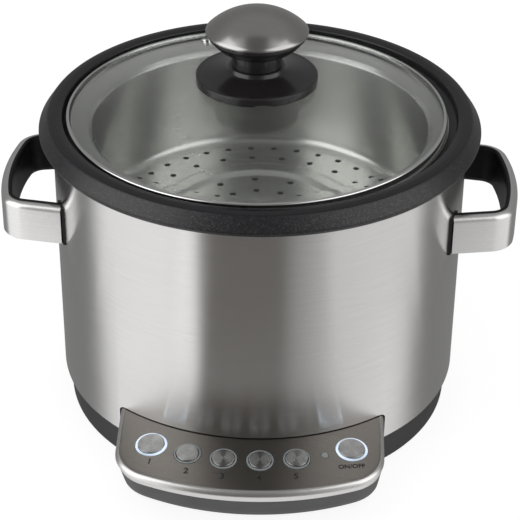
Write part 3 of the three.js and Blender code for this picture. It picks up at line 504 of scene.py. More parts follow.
def moulded(name, colour, roughness, grain=2500.0, bump=0.15, specular=0.5):
    finish = Finish(name, colour, roughness)
    rough = finish.handled(35.0, roughness - 0.07, roughness + 0.07)
    finish.plain(Specular_IOR_Level=specular, Roughness=rough)
    finish.raised(finish.effect(MOULDED_GRAIN, Scale=grain)["Height"], bump)
    return finish.material


def handled_only(name, colour, roughness, size, low, high, metallic=0.0):
    """A plain finish whose roughness shows handling marks."""
    finish = Finish(name, colour, roughness, metallic)
    finish.plain(Roughness=finish.handled(size, low, high))
    return finish.material


def drum_steel():
    dark, light = (0.61, 0.603, 0.597), (0.81, 0.803, 0.795)
    return brushed_metal("drum_steel", dark, light, 0.23, (40, 40, 5200), 0.02, aniso=0.97).material


def handle_steel():
    dark, light = (0.74, 0.735, 0.725), (0.88, 0.875, 0.865)
    return brushed_metal("handle_steel", dark, light, 0.28, (40, 40, 5200), 0.03, aniso=0.8).material


def knob_steel():
    dark, light = (0.42, 0.41, 0.40), (0.50, 0.49, 0.48)
    return brushed_metal("knob_steel", dark, light, 0.20, (30, 30, 3200), 0.03, bump=0.06).material


def panel_steel():
    """Brushed sheet whose colour is multiplied darker on the face, where the normal points up, and left bare
    on the rolled edge and the skirt.
    """
    dark, light = (0.66, 0.65, 0.635), (0.84, 0.83, 0.815)
    finish = brushed_metal("panel_steel", dark, light, 0.29, (60, 4200, 4200), 0.04, bump=0.12)
    facing = finish.parts(finish.node("NewGeometry").outputs["True Normal"])
    face = finish.between(facing["Z"], 0.95, 0.98)
    finish.plain(Base_Color=finish.mixed(face, finish.colour, (0.28, 0.265, 0.25), "MULTIPLY"))
    return finish.material


def tray_steel():
    dark, light = (0.53, 0.53, 0.51), (0.68, 0.68, 0.66)
    rings = (2400, 2400, 14)
    finish = brushed_metal("tray_steel", dark, light, 0.26, rings, 0.015, 0.04, centre_y=DRUM_Y * MM)
    finish.plain(Anisotropic=0.85)
    return finish.material


def turned_cap_steel():
    """Concentric turning marks, read from the cap's own flat map."""
    finish = Finish("turned_cap_steel", (0.74, 0.74, 0.74), 0.25, 1.0)
    radius = finish.vector("LENGTH", finish.node("UVMap", uv_map="cap_map").outputs["UV"])
    noise = finish.node("TexNoise", {"Scale": 5500, "Detail": 3, "W": radius}, noise_dimensions="1D")
    rings = noise.outputs["Fac"]
    along = finish.node("Tangent", direction_type="UV_MAP", uv_map="cap_round")
    finish.plain(
        Base_Color=finish.mixed(rings, (0.20, 0.20, 0.20), (0.56, 0.56, 0.56)),
        Roughness=finish.spread(rings, 0.24, 0.34),
        Anisotropic=0.97,
        Anisotropic_Rotation=0.25,
        Tangent=along.outputs["Tangent"],
    )
    finish.raised(rings, 0.15)
    return finish.material


def cast_aluminium():
    finish = Finish("cast_aluminium", (0.62, 0.63, 0.64), 0.4, 1.0)
    grain = finish.effect(MOULDED_GRAIN, Scale=900.0)["Height"]
    finish.plain(Roughness=finish.spread(grain, 0.32, 0.55))
    finish.raised(grain, 0.25)
    return finish.material


def speckled_enamel():
    """Black enamel, with fine pale speckles on the rim's outer face and smooth on top."""
    finish = Finish("speckled_enamel", (0.012, 0.012, 0.014), 0.22)
    cells = finish.node("TexVoronoi", {"Vector": finish.place, "Scale": 2100, "Randomness": 1.0}).outputs
    tones = finish.node("SeparateColor", {"Color": cells["Color"]}).outputs
    near = finish.math("LESS_THAN", cells["Distance"], 0.30)
    mask = finish.math("MULTIPLY", near, finish.math("GREATER_THAN", tones["Red"], 0.45))
    faint = finish.math("MULTIPLY", mask, tones["Green"])
    low = finish.between(finish.parts(finish.place)["Z"], RIM_TOP * MM, SPECKLES_FULL * MM)
    shown = finish.math("MULTIPLY", faint, low)
    finish.plain(
        Base_Color=finish.mixed(shown, (0.010, 0.010, 0.012), (0.26, 0.26, 0.27)),
        Roughness=finish.spread(low, 0.22, 0.36),
    )
    finish.raised(mask, 0.12)
    return finish.material


def clear_glass():
    """Clear glass that lets the lamps' light through on to the tray."""
    finish = Finish("clear_glass", (0.985, 1.0, 0.99), 0.0)
    finish.plain(Transmission_Weight=1.0, IOR=1.47)
    through = finish.node("BsdfTransparent", {"Color": (0.93, 0.95, 0.94, 1)})
    rays = finish.node("LightPath").outputs
    either = finish.math("MAXIMUM", rays["Is Shadow Ray"], rays["Is Diffuse Ray"])
    finish.show(finish.blended(either, finish.shader.outputs["BSDF"], through.outputs["BSDF"]))
    return finish.material


def milky_light(name, colour, glow):
    """A light guide, lit from its left and right ends where it glows."""
    finish = Finish(name, colour, 0.35)
    smoothest = 0.28 if glow else 0.08
    finish.plain(
        Roughness=finish.handled(300.0, smoothest, smoothest + 0.1),
        Emission_Color=(0.72, 0.84, 1.0, 1),
        Emission_Strength=0.0,
        Subsurface_Weight=0.2,
    )
    if glow:
        chart = finish.node("UVMap", uv_map="cap_round").outputs["UV"]
        wave = finish.math("COSINE", finish.math("MULTIPLY", finish.parts(chart)["X"], math.tau))
        ends = finish.math("ABSOLUTE", wave)
        finish.plain(Emission_Strength=finish.spread(ends, glow * 0.25, glow))
    return finish.material


def coated_board():
    finish = Finish("coated_board", (0.03, 0.16, 0.07), 0.35)
    tracks = finish.node("TexBrick", {
        "Vector": finish.place,
        "Scale": 160,
        "Color1": (0.02, 0.14, 0.06, 1),
        "Color2": (0.04, 0.2, 0.1, 1),
        "Mortar": (0.10, 0.26, 0.12, 1),
    })
    finish.plain(Base_Color=tracks.outputs["Color"])
    return finish.material


FINISHES = {
    "drum": drum_steel(),
    "handle": handle_steel(),
    "panel": panel_steel(),
    "tray": tray_steel(),
    "knob": knob_steel(),
    "bright": handled_only("bright_steel", (0.80, 0.80, 0.79), 0.12, 40.0, 0.08, 0.17, 1.0),
    "cap": turned_cap_steel(),
    "cast": cast_aluminium(),
    "enamel": speckled_enamel(),
    "glass": clear_glass(),
    "lit": milky_light("lit_guide", (0.80, 0.88, 1.0), 0.6),
    "unlit": milky_light("unlit_guide", (0.32, 0.32, 0.325), 0.0),
    "plinth": moulded("plinth_plastic", (0.024, 0.024, 0.025), 0.5, bump=0.3),
    "black": moulded("black_plastic", (0.009, 0.009, 0.010), 0.38, 3500.0, 0.06, 0.15),
    "gloss": moulded("knob_plastic", (0.020, 0.018, 0.019), 0.17, 3500.0, 0.03, 0.6),
    "rubber": moulded("soft_rubber", (0.015, 0.015, 0.015), 0.75, 1800.0, 0.3, 0.3),
    "ink": handled_only("printed_ink", (0.012, 0.012, 0.012), 0.5, 400.0, 0.42, 0.58),
    "board": coated_board(),
}


def finish_piece(piece, finish, body, nodes=()):
    """Gives a new piece its finish, the body that it rides on and the nodes it stands for."""
    piece.data.materials.clear()
    piece.data.materials.append(FINISHES[finish])
    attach(piece, body)
    if nodes:
        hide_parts(*nodes)


def dress_node(node, finish):
    """A CAD node whose shape is right gets a finish."""
    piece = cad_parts[node]
    if not piece.material_slots:
        piece.data.materials.append(FINISHES[finish])
    for place in piece.material_slots:
        place.material = FINISHES[finish]


# Bowl and tray

BOWL_WALL = 2.4
BOWL_SIDES = 200


def make_bowl():
    rim = [
        (140.8, RIM_EDGE),
        (142.6, 200.6, 2.0),
        (136.2, 209.75, 3.0),
        (131.6, 210.25, 9.2),
        (127.0, 209.4, 1.2),
        (SEAT_R, SEAT_EDGE, 2.0),
        (117.2, 201.1, 3.0),
        (112.7, 84.0, 14.0),
        (0.0, 84.0),
    ]
    bowl = turned("bowl_pressing", sheet_outline(softened(rim, 8), BOWL_WALL), BOWL_SIDES)
    finish_piece(bowl, "enamel", "bowl", ["cooking_bowl"])


def tray_height(radius):
    """The height of the tray's flange, which lies on the bowl's sloping seat."""
    return SEAT_EDGE - SEAT_SLOPE * (SEAT_R - radius) + 1.1 * math.hypot(1, SEAT_SLOPE)


TRAY_R = 121.4
TRAY_FLANGE_R = 110.5
TRAY_FOOT_R = 105.1
TRAY_FLOOR = tray_height(TRAY_R) - 73.6
TRAY_SHEET = 0.8
HOLE_R = 2.1
HOLE_TURN = math.radians(-5.7)
HOLE_RING_SHARES = [(0.308, 12), (0.457, 12), (0.754, 24), (0.886, 36)]
PIN_REACH = 6


def make_tray():
    flange = tray_height(TRAY_FLANGE_R)
    skin = [
        (TRAY_R, tray_height(TRAY_R)),
        (TRAY_FLANGE_R, flange, 2.5),
        (107.7, flange - 2.8, 2.5),
        (TRAY_FOOT_R, TRAY_FLOOR, 7.0),
        (71.0, TRAY_FLOOR, 6.0),
        (66.4, TRAY_FLOOR + 2, 6.0),
        (58.0, TRAY_FLOOR + 2, 6.0),
        (53.4, TRAY_FLOOR, 6.0),
        (0.0, TRAY_FLOOR),
    ]
    tray = turned("tray_pressing", sheet_outline(softened(skin, 6), TRAY_SHEET), BOWL_SIDES)
    pins = []
    for share, count in HOLE_RING_SHARES:
        for k in range(count):
            angle = HOLE_TURN + k * math.tau / count
            x = TRAY_FOOT_R * share * math.sin(angle)
            y = DRUM_Y + TRAY_FOOT_R * share * math.cos(angle)
            pins.append(upright_pin("hole_pin", x, y, TRAY_FLOOR - PIN_REACH, TRAY_FLOOR + PIN_REACH, HOLE_R))
    cut_with(tray, joined(pins))
    smooth(tray)
    finish_piece(tray, "tray", "tray", ["steamer_tray"])


# Lid

LID_R = 122.4
GLASS = 3.4
GLASS_BORE = 4.2
BAND_SHEET = 0.5
BAND_PLAY = 0.8
BAND_FOOT = tray_height(TRAY_R) + GAP
GLASS_FOOT = BAND_FOOT + BAND_PLAY
GLASS_EDGE = GLASS_FOOT + GLASS
BAND_TOP = GLASS_EDGE + BAND_PLAY
BAND_IN = LID_R - 2.2
DOME_CHORD = BAND_IN - 1.4
DOME_RISE = 23.3
DOME_R = (DOME_CHORD ** 2 + DOME_RISE ** 2) / (2 * DOME_RISE)
DOME_Z = GLASS_EDGE + DOME_RISE - DOME_R
VENT = (-0.302 * LID_R, 0.67 * LID_R)


def dome(radius, offset=0.0):
    return DOME_Z + math.sqrt((DOME_R + offset) ** 2 - radius ** 2)


def dome_arc(start, end, offset, steps):
    spots = [start + (end - start) * k / steps for k in range(steps + 1)]
    return [(radius, dome(radius, offset)) for radius in spots]


def lid_turned(name, outline, sides):
    return turned(name, outline, sides, (LID_X, DRUM_Y))


def make_lid_glass():
    outline = [
        *dome_arc(GLASS_BORE, DOME_CHORD, 0, 24),
        (LID_R - BAND_PLAY, GLASS_EDGE),
        (LID_R - BAND_PLAY, GLASS_FOOT),
        *dome_arc(DOME_CHORD - GLASS / 2, GLASS_BORE, -GLASS, 24),
    ]
    finish_piece(lid_turned("lid_pane", outline, BOWL_SIDES), "glass", "lid", ["lid_glass"])


def make_lid_band():
    outer = softened([
        (BAND_IN, BAND_TOP),
        (LID_R, BAND_TOP, 1.1),
        (LID_R, BAND_FOOT, 0.8),
        (BAND_IN, BAND_FOOT),
    ])
    inner = [
        (BAND_IN, BAND_FOOT + BAND_SHEET),
        (LID_R - BAND_SHEET, BAND_FOOT + BAND_SHEET),
        (LID_R - BAND_SHEET, BAND_TOP - BAND_SHEET),
        (BAND_IN, BAND_TOP - BAND_SHEET),
    ]
    band = lid_turned("lid_rolled_band", outer + inner, BOWL_SIDES)
    finish_piece(band, "bright", "lid", ["lid_band"])


def make_vent():
    outline = [
        (1.5, 1.3),
        *softened([(3.0, 1.3), (4.0, 1.3, 0.5), (4.0, 0.3)], 4),
        (3.0, 0.3),
        (3.0, -GLASS - 0.9),
        (4.0, -GLASS - 0.9),
        (4.0, -GLASS - 1.9),
        (1.5, -GLASS - 1.9),
    ]
    vent = turned("vent_grommet", outline, 40, (0, 0))
    radius = math.hypot(*VENT)
    tilt = math.asin(radius / DOME_R)
    towards = math.atan2(VENT[1], VENT[0])
    spot = Vector((LID_X + VENT[0], DRUM_Y + VENT[1], dome(radius))) * MM
    turn = Matrix.Rotation(towards, 4, "Z") @ Matrix.Rotation(tilt, 4, "Y")
    place_by(vent, Matrix.Translation(spot) @ turn)
    finish_piece(vent, "bright", "lid", ["lid_vent"])


KNOB_SIDES = 120
KNOB_BASE_R = 38.6
KNOB_BASE_HEIGHT = 5.8
KNOB_CONE = 3.8
KNOB_COLLAR = 2.4
STEM_R = 16.0
TENON_R = 8.0
KNOB_RIM_R = 31.1
SCREW_BORE = 2.7
CAP_R = 32.5
CAP_SIDE_R = 32.3
CAP_RISE = 13.6
CAP_SKIRT = 1.4
CAP_SHEET = 0.8


def make_knob_base(foot, collar):
    """A disc with a low cone and a collar round the stem, notched at the front of its foot."""
    top = foot + KNOB_BASE_HEIGHT
    ledge = top + KNOB_CONE
    disc = [
        (KNOB_BASE_R + 0.3, foot + 0.4),
        (KNOB_BASE_R + 0.3, top - 0.7, 0.5),
        (KNOB_BASE_R - 0.9, top, 0.6),
        (KNOB_BASE_R - 2.4, top, 0.5),
        (21.2, ledge - 1.5),
    ]
    cone = [(21.2, ledge - 1.5), (18.8, ledge, 2.4), (17.6, collar - 0.2, 0.8), (16.3, collar)]
    bore = TENON_R + GAP
    outline = [
        *dome_arc(bore, KNOB_BASE_R - 0.2, GAP, 8),
        *softened(disc, 4),
        *softened(cone, 5)[1:],
        (bore, collar),
    ]
    base = lid_turned("knob_skirt", outline, KNOB_SIDES)
    notch_x = LID_X + 5.4
    front = DRUM_Y - KNOB_BASE_R
    notch_low = (notch_x - 4.7, front - 4, foot - 4)
    notch_high = (notch_x + 4.7, front + 3, foot + 1.6)
    cut_with(base, block("notch_tool", notch_low, notch_high))
    smooth(base)
    finish_piece(base, "gloss", "lid", ["knob_base"])


def make_knob():
    base_foot = dome(KNOB_BASE_R, GAP)
    collar = base_foot + KNOB_BASE_HEIGHT + KNOB_CONE + KNOB_COLLAR
    make_knob_base(base_foot, collar)

    stem_foot = collar + GAP
    flare_foot = stem_foot + 9.1
    flare_top = flare_foot + 10.3
    grip_top = flare_top + 1.9
    tenon = dome(0) + GAP
    curve_steps = 16
    curve = []
    for k in range(curve_steps + 1):
        t = k / curve_steps
        r = (1 - t) ** 2 * STEM_R + t * (1 - t) * (STEM_R + KNOB_RIM_R) + t * t * KNOB_RIM_R
        z = (1 - t * t) * flare_foot + t * t * flare_top
        curve.append((r, z))
    bore_top = tenon + 22.6
    grip = [
        (SCREW_BORE, tenon),
        (TENON_R, tenon),
        (TENON_R, stem_foot),
        (STEM_R, stem_foot),
        *curve,
        (KNOB_RIM_R, grip_top - 0.3),
        (KNOB_RIM_R - 0.3, grip_top),
        (0.0, grip_top),
        (0.0, bore_top),
        (SCREW_BORE, bore_top),
    ]
    mushroom = lid_turned("knob_mushroom", grip, KNOB_SIDES)
    finish_piece(mushroom, "gloss", "lid", ["knob_grip"])

    foot = grip_top + GAP
    dome_r = (CAP_R ** 2 + CAP_RISE ** 2) / (2 * CAP_RISE)
    middle = (0, foot + CAP_SKIRT + CAP_RISE - dome_r)
    lean = math.asin(CAP_SIDE_R / dome_r)
    inside = 30.9
    cap = [
        (31.7, foot),
        (CAP_SIDE_R, foot + 0.1),
        (CAP_R, foot + 0.6),
        (CAP_R, foot + 1.2),
        *arc(middle, dome_r, math.pi / 2 - lean, math.pi / 2, 18),
        *arc(middle, dome_r - CAP_SHEET, math.pi / 2, math.pi / 2 - lean, 18)[:-1],
        (inside, foot + CAP_SKIRT),
        (inside, foot),
    ]
    finish_piece(lid_turned("knob_dome", cap, KNOB_SIDES), "knob", "lid", ["knob_cap"])


# Drum, collar and well

PANEL_HALF = 84.7
PANEL_RISE = 19.8
PANEL_REACH = 23.2
PANEL_FACE = DRUM_FOOT + PANEL_RISE
PANEL_SLOPE = 0.14
PANEL_FLARE = 0.625
PANEL_DROP = PANEL_SLOPE * (PANEL_REACH - PANEL_FLARE * BASE_Z)
PANEL_EDGE_Z = (PANEL_FACE - PANEL_DROP) / (1 + PANEL_SLOPE * PANEL_FLARE)
PANEL_GAP = 0.7
WINDOW_CORNER = 4


def face_height(radius):
    return PANEL_FACE - PANEL_SLOPE * (radius - DRUM_R)


def make_drum():
    hem = softened([(129.6, DRUM_FOOT), (DRUM_R, DRUM_FOOT, 1.2), (DRUM_R, SHELL_TOP)], 6)
    drum = turned("drum_sheet", sheet_outline(hem, DRUM_SHEET), 256)
    half = PANEL_HALF + PANEL_GAP
    top = PANEL_FACE + PANEL_GAP
    window = block("panel_window", (-half, -150 + DRUM_Y, 0), (half, -60 + DRUM_Y, top))
    pick(window)
    bpy.ops.object.mode_set(mode="EDIT")
    bpy.ops.mesh.select_mode(type="EDGE")
    bpy.ops.mesh.select_all(action="DESELECT")
    edit = bmesh.from_edit_mesh(window.data)
    for edge in edit.edges:
        high = all(vertex.co.z > top * MM / 2 for vertex in edge.verts)
        along = abs(edge.verts[0].co.y - edge.verts[1].co.y) > MM
        edge.select_set(high and along)
    bmesh.update_edit_mesh(window.data)
    bpy.ops.mesh.bevel(offset=WINDOW_CORNER * MM, segments=6, affect="EDGES")
    bpy.ops.mesh.select_mode(type="VERT")
    bpy.ops.object.mode_set(mode="OBJECT")
    cut_with(drum, window)
    across = INLET_HALF[0] + GAP
    up = INLET_HALF[1] + GAP
    inlet_low = (-across, DRUM_Y + 100, INLET_Z - up)
    inlet_high = (across, DRUM_Y + 160, INLET_Z + up)
    cut_with(drum, block("inlet_window", inlet_low, inlet_high))
    smooth(drum)
    finish_piece(drum, "drum", "base", ["outer_shell"])


def make_collar():
    outside = DRUM_R - DRUM_SHEET - GAP
    inside = outside - 2.3
    foot_r = 124.0
    top = 206.8
    ledge = 197.2
    outline = [
        (outside, 191.0),
        (outside, SHELL_TOP + GAP),
        (DRUM_R, SHELL_TOP + GAP),
        (outside - 1.15, top),
        (inside, top),
        (inside, ledge),
        (foot_r, ledge),
        (foot_r, ledge - 3),
    ]
    finish_piece(turned("mouth_collar", outline), "black", "base", ["top_collar"])


def make_well():
    well_r = 122.5
    sheet = 0.8
    floor = 65.7
    flange = 198.3 - sheet
    skin = softened([(98.7, floor), (well_r, floor, 2.0), (well_r, flange, 1.0), (128.7, flange)], 5)
    well = turned("well_cup", sheet_outline(skin, sheet))
    finish_piece(well, "cast", "base", ["well_liner"])
    plate_top = 81.3
    foot = floor + 1.1
    bore = 16.7
    plate_r = 95.0
    ledge_r = 104.0
    plate = [
        (bore, foot + 1),
        (bore, plate_top, 0.8),
        (plate_r, plate_top, 1.5),
        (plate_r, foot + 2.6, 1.5),
        (ledge_r, foot + 2.6),
    ]
    outline = [*softened(plate, 4), (ledge_r, foot), (bore, foot)]
    finish_piece(turned("heating_plate", outline), "cast", "base", ["hotplate"])
    sensor_r = 15.3
    sensor_foot = plate_top - 20.3
    cap = [
        *softened([(0.0, plate_top), (sensor_r, plate_top, 1.2), (sensor_r, sensor_foot)], 5),
        (sensor_r - 1, sensor_foot),
        (sensor_r - 1, plate_top - 1.0),
        (0.0, plate_top - 1.0),
    ]
    finish_piece(turned("sensor_button", cap, 64), "cast", "sensor", ["sensor_cap"])


SPRING_R = 11.0
SPRING_WIRE = 0.6
SPRING_TURNS = 5
TURN_STEPS = 24


def make_spring():
    """The coil under the sensor, built at one length. The real one squeezes as the sensor goes down."""
    low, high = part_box("sensor_spring")
    length = (high[2] - low[2]) / MM
    steps = SPRING_TURNS * TURN_STEPS
    section = arc((0, 0), SPRING_WIRE, 0, math.tau, 8)[:-1]
    rings = []
    for k in range(steps + 1):
        angle = math.tau * k / TURN_STEPS
        outwards = Vector((math.cos(angle), math.sin(angle), 0))
        height = low[2] / MM + SPRING_WIRE + (length - 2 * SPRING_WIRE) * k / steps
        middle = Vector((0, DRUM_Y, height)) + outwards * SPRING_R
        rings.append([middle + outwards * across + Vector((0, 0, rise)) for across, rise in section])
    spring = lofted("sensor_coil", rings)
    finish_piece(spring, "bright", "base", ["sensor_spring"])
    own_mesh(spring)


# Panel and controls

SIDE_FLARE = 0.055
PANEL_CORNER = 27.0
SIDE_STEPS = 6
CORNER_STEPS = 12
FRONT_STEPS = 20
PANEL_SHEET = 1.2
PANEL_ROLL = 3.0


def panel_outline(height, inset, back_radius):
    """Plan points from the left end round the front to the right end."""
    rise = height - BASE_Z
    radius = DRUM_R + PANEL_REACH + PANEL_FLARE * rise - inset
    half = PANEL_HALF - SIDE_FLARE * (PANEL_RISE + PLINTH_HEIGHT - rise) - inset
    corner = PANEL_CORNER - inset
    centre_x = half - corner
    centre_y = -math.sqrt((radius - corner) ** 2 - centre_x ** 2)
    back_y = -math.sqrt(back_radius ** 2 - half ** 2)
    lean = math.atan2(centre_x, -centre_y)
    left = [(-half, back_y + (centre_y - back_y) * k / SIDE_STEPS) for k in range(SIDE_STEPS)]
    for k in range(CORNER_STEPS):
        angle = math.pi + (math.pi / 2 - lean) * k / CORNER_STEPS
        left.append((-centre_x + corner * math.cos(angle), centre_y + corner * math.sin(angle)))
    front = []
    for k in range(-FRONT_STEPS, FRONT_STEPS + 1):
        front.append((radius * math.sin(lean * k / FRONT_STEPS), -radius * math.cos(lean * k / FRONT_STEPS)))
    return left + front + [(-x, y) for x, y in reversed(left)]


def make_fascia():
    back = DRUM_R - DRUM_SHEET - 3.1
    start = DRUM_R - 6.6
    roll = arc((PANEL_ROLL, PANEL_ROLL), PANEL_ROLL, -math.pi / 2, -math.pi, 8)
    outer = [panel_outline(PANEL_EDGE_Z, inset, back) for inset, drop in roll]

    def face_row(share):
        row = []
        for x, y in outer[0]:
            reach = math.hypot(x, y)
            scale = (start + (reach - start) * share) / reach
            row.append((x * scale, y * scale + DRUM_Y, face_height(reach * scale)))
        return row

    rows = [face_row(share) for share in (0, 0.25, 0.5, 0.75, 0.97)]
    for (inset, drop), plan in zip(roll, outer):
        rows.append([(x, y + DRUM_Y, face_height(math.hypot(x, y)) - drop) for x, y in plan])
    foot = panel_outline(DRUM_FOOT, 0, back)
    # The skirt starts from the row before the last one of the roll
    skirt_from = rows[-2]
    for share in (0.15, 0.4, 0.7, 1.0):
        row = []
        for (ax, ay, az), (bx, by) in zip(skirt_from, foot):
            row.append((
                ax + (bx - ax) * share,
                ay + (by + DRUM_Y - ay) * share,
                az + (DRUM_FOOT - az) * share,
            ))
        rows.append(row)
    fascia = lofted("panel_pressing", rows, closed=False, capped=False)
    pick(fascia)
    edit = bmesh.new()
    edit.from_mesh(fascia.data)
    edit.faces.ensure_lookup_table()
    tops = [face for face in edit.faces if abs(face.normal.z) > 0.9]
    upwards = sum(face.normal.z for face in tops) > 0
    if not upwards:
        for face in edit.faces:
            face.normal_flip()
    edit.to_mesh(fascia.data)
    edit.free()
    apply_modifier(fascia, "SOLIDIFY", "sheet", thickness=PANEL_SHEET * MM, offset=-1)
    holes = [(share, cap + 1.8) for name, share, cap in CONTROL_SHARES] + [(LAMP_SHARE, LENS_R + GAP)]
    tools = []
    for share, radius in holes:
        pin = upright_pin("control_hole", 0, 0, -10, 10, radius, 64)
        place_by(pin, face_matrix(share))
        tools.append(pin)
    cut_with(fascia, joined(tools))
    smooth(fascia, 30)
    finish_piece(fascia, "panel", "base", ["fascia"])


SMALL_CAP = 7.0
LARGE_CAP = 8.3

# Controls across the panel, as shares of its half width
CONTROL_SHARES = [
    ("1", -0.73, LARGE_CAP),
    ("2", -0.455, SMALL_CAP),
    ("3", -0.188, SMALL_CAP),
    ("4", 0.081, SMALL_CAP),
    ("5", 0.349, SMALL_CAP),
    ("start", 0.753, LARGE_CAP),
]
LAMP_SHARE = 0.555
LENS_R = 2.2
CONTROL_R = DRUM_R + 18.4
TILT = math.atan(PANEL_SLOPE)


def face_matrix(share, forward=0.0, turn=1.0):
    """The place on the face at a control's share, with Z along the face's normal."""
    x = share * PANEL_HALF
    y = -math.sqrt(CONTROL_R ** 2 - x ** 2) - forward
    angle = math.atan2(x, -y)
    spot = Vector((x, DRUM_Y + y, face_height(math.hypot(x, y)))) * MM
    twist = Matrix.Rotation(angle * (turn - 1), 4, "Z")
    slant = Matrix.Rotation(angle, 4, "Z") @ Matrix.Rotation(TILT, 4, "X") @ twist
    return Matrix.Translation(spot) @ slant


def map_cap(piece):
    """A flat map round the cap's middle, and a round one whose first value runs round it."""
    mesh = piece.data
    mesh.uv_layers.new(name="cap_map")
    mesh.uv_layers.new(name="cap_round")
    flat = mesh.uv_layers["cap_map"]
    curled = mesh.uv_layers["cap_round"]
    for face in mesh.polygons:
        middle = math.atan2(face.center.y, face.center.x)
        for index in face.loop_indices:
            place = mesh.vertices[mesh.loops[index].vertex_index].co
            radius = math.hypot(place.x, place.y)
            lean = 0.0
            if radius > 0.01 * MM:
                lean = math.remainder(math.atan2(place.y, place.x) - middle, math.tau)
            flat.data[index].uv = (place.x, place.y)
            curled.data[index].uv = ((middle + lean) / math.tau, radius / MM)


CONTROL_SIDES = 72
CAP_PROUD = 1.3
CAP_FLANGE = 0.8
PLUNGER_R = 1.9
RING_FOOT = -11.7


def make_controls():
    stop = CAP_PROUD - 3.6 - CAP_FLANGE
    end = -12.0 + 3.4 - 0.6
    for (name, share, cap), letter in zip(CONTROL_SHARES, "abcdef"):
        lit = name in ("1", "start")
        inside = cap + 0.4
        outside = cap + 1.5
        ring = [
            *softened([(inside, -1.0), (inside, 0.7, 0.3), (outside, 0.7, 0.45), (outside, -1.5)], 4),
            (outside + 0.8, -1.5),
            (outside + 0.8, RING_FOOT),
            (cap + 1.3, RING_FOOT),
            (cap + 1.3, stop + 1.1),
            (inside, stop + 1.1),
        ]
        guide = turned("light_guide_" + name, ring, CONTROL_SIDES, (0, 0))
        map_cap(guide)
        place_by(guide, face_matrix(share))
        finish_piece(guide, "lit" if lit else "unlit", "base", ["light_ring_" + name])
        crown = [(0.0, 1.22), (cap * 0.6, 1.25, 3.0), (cap, CAP_PROUD, 0.35), (cap, stop + CAP_FLANGE)]
        outline = [
            *softened(crown, 5),
            (cap + 0.9, stop + CAP_FLANGE),
            (cap + 0.9, stop),
            (PLUNGER_R, stop),
            (PLUNGER_R, end),
            (0.0, end),
        ]
        button = turned("push_cap_" + name, outline, CONTROL_SIDES, (0, 0))
        map_cap(button)
        place_by(button, face_matrix(share))
        finish_piece(button, "cap", "button_" + letter, ["button_" + name])
    lens = [
        *softened([(0.0, 0.5), (LENS_R, 0.5, 0.4), (LENS_R, -1.5)], 4),
        (3.2, -1.5),
        (3.2, -4.0),
        (0.0, -4.0),
    ]
    lamp = turned("lamp_lens", lens, 40, (0, 0))
    place_by(lamp, face_matrix(LAMP_SHARE))
    finish_piece(lamp, "unlit", "base", ["indicator_lens"])


MARK_FORWARD = 14.5
MARK_TURN = 0.4
MARK_RISE = 0.06
NUMBER_SIZE = 6.4
WORD_SIZE = 4.6


def make_mark(text, share, size):
    """A small printed mark on the face, in front of a button."""
    deselect_all()
    bpy.ops.object.text_add()
    mark = bpy.context.object
    mark.name = "mark_" + text.replace("/", "_").lower()
    mark.data.body = text
    mark.data.size = size * MM
    mark.data.align_x = "CENTER"
    mark.data.align_y = "CENTER"
    mark.data.extrude = 0.02 * MM
    mark.data.offset = 0.12 * MM
    bpy.ops.object.convert(target="MESH")
    place_by(mark, face_matrix(share, MARK_FORWARD, MARK_TURN) @ Matrix.Translation((0, 0, MARK_RISE * MM)))
    finish_piece(mark, "ink", "base")


# Plinth

PLINTH_INSET = 2.6
PLINTH_DRAFT = 1.7
PLINTH_WALL = 2.5
PLINTH_FLOOR = 5.5
PLINTH_BACK_R = 109.0
SLOT_COUNT = 8
SLOT_PITCH = 10
SLOT_HALF_WIDTH = 2
SLOT_HALF_LENGTH = 17


def plinth_radius(z, inset=0.0):
    return DRUM_R - PLINTH_INSET - PLINTH_DRAFT * (PLINTH_TOP - z) / PLINTH_HEIGHT - inset


def make_plinth():
    outline = [
        *softened([
            (0.0, BASE_Z),
            (plinth_radius(BASE_Z), BASE_Z, 1.2),
            (plinth_radius(PLINTH_TOP), PLINTH_TOP),
        ], 4),
        (plinth_radius(PLINTH_TOP, PLINTH_WALL), PLINTH_TOP),
        (plinth_radius(PLINTH_FLOOR, PLINTH_WALL), PLINTH_FLOOR),
        (0.0, PLINTH_FLOOR),
    ]
    base = turned("plinth_moulding", outline, BOWL_SIDES)
    rings = []
    for z, inset in ((BASE_Z, 0.8), (3.3, 0.25), (3.9, 0.0), (10.0, 0.0), (18.0, 0.0), (PLINTH_TOP, 0.0)):
        rings.append([(x, y + DRUM_Y, z) for x, y in panel_outline(z, inset, PLINTH_BACK_R)])
    foot = lofted("plinth_foot", rings)
    pick(foot)
    bpy.ops.object.mode_set(mode="EDIT")
    bpy.ops.mesh.select_all(action="DESELECT")
    bpy.ops.mesh.select_mode(type="EDGE")
    bpy.ops.mesh.select_non_manifold()
    bpy.ops.mesh.edge_face_add()
    bpy.ops.mesh.select_mode(type="VERT")
    tidy_mesh()
    smooth(foot)
    finish_piece(foot, "plinth", "base")
    holes = []
    for k in range(SLOT_COUNT):
        x = (k - (SLOT_COUNT - 1) / 2) * SLOT_PITCH
        low = (x - SLOT_HALF_WIDTH, DRUM_Y - SLOT_HALF_LENGTH, -5)
        high = (x + SLOT_HALF_WIDTH, DRUM_Y + SLOT_HALF_LENGTH, 12)
        holes.append(block("slot_tool", low, high))
    cut_with(base, joined(holes))
    smooth(base)
    finish_piece(base, "plinth", "base", ["base_plinth"])


# Handles

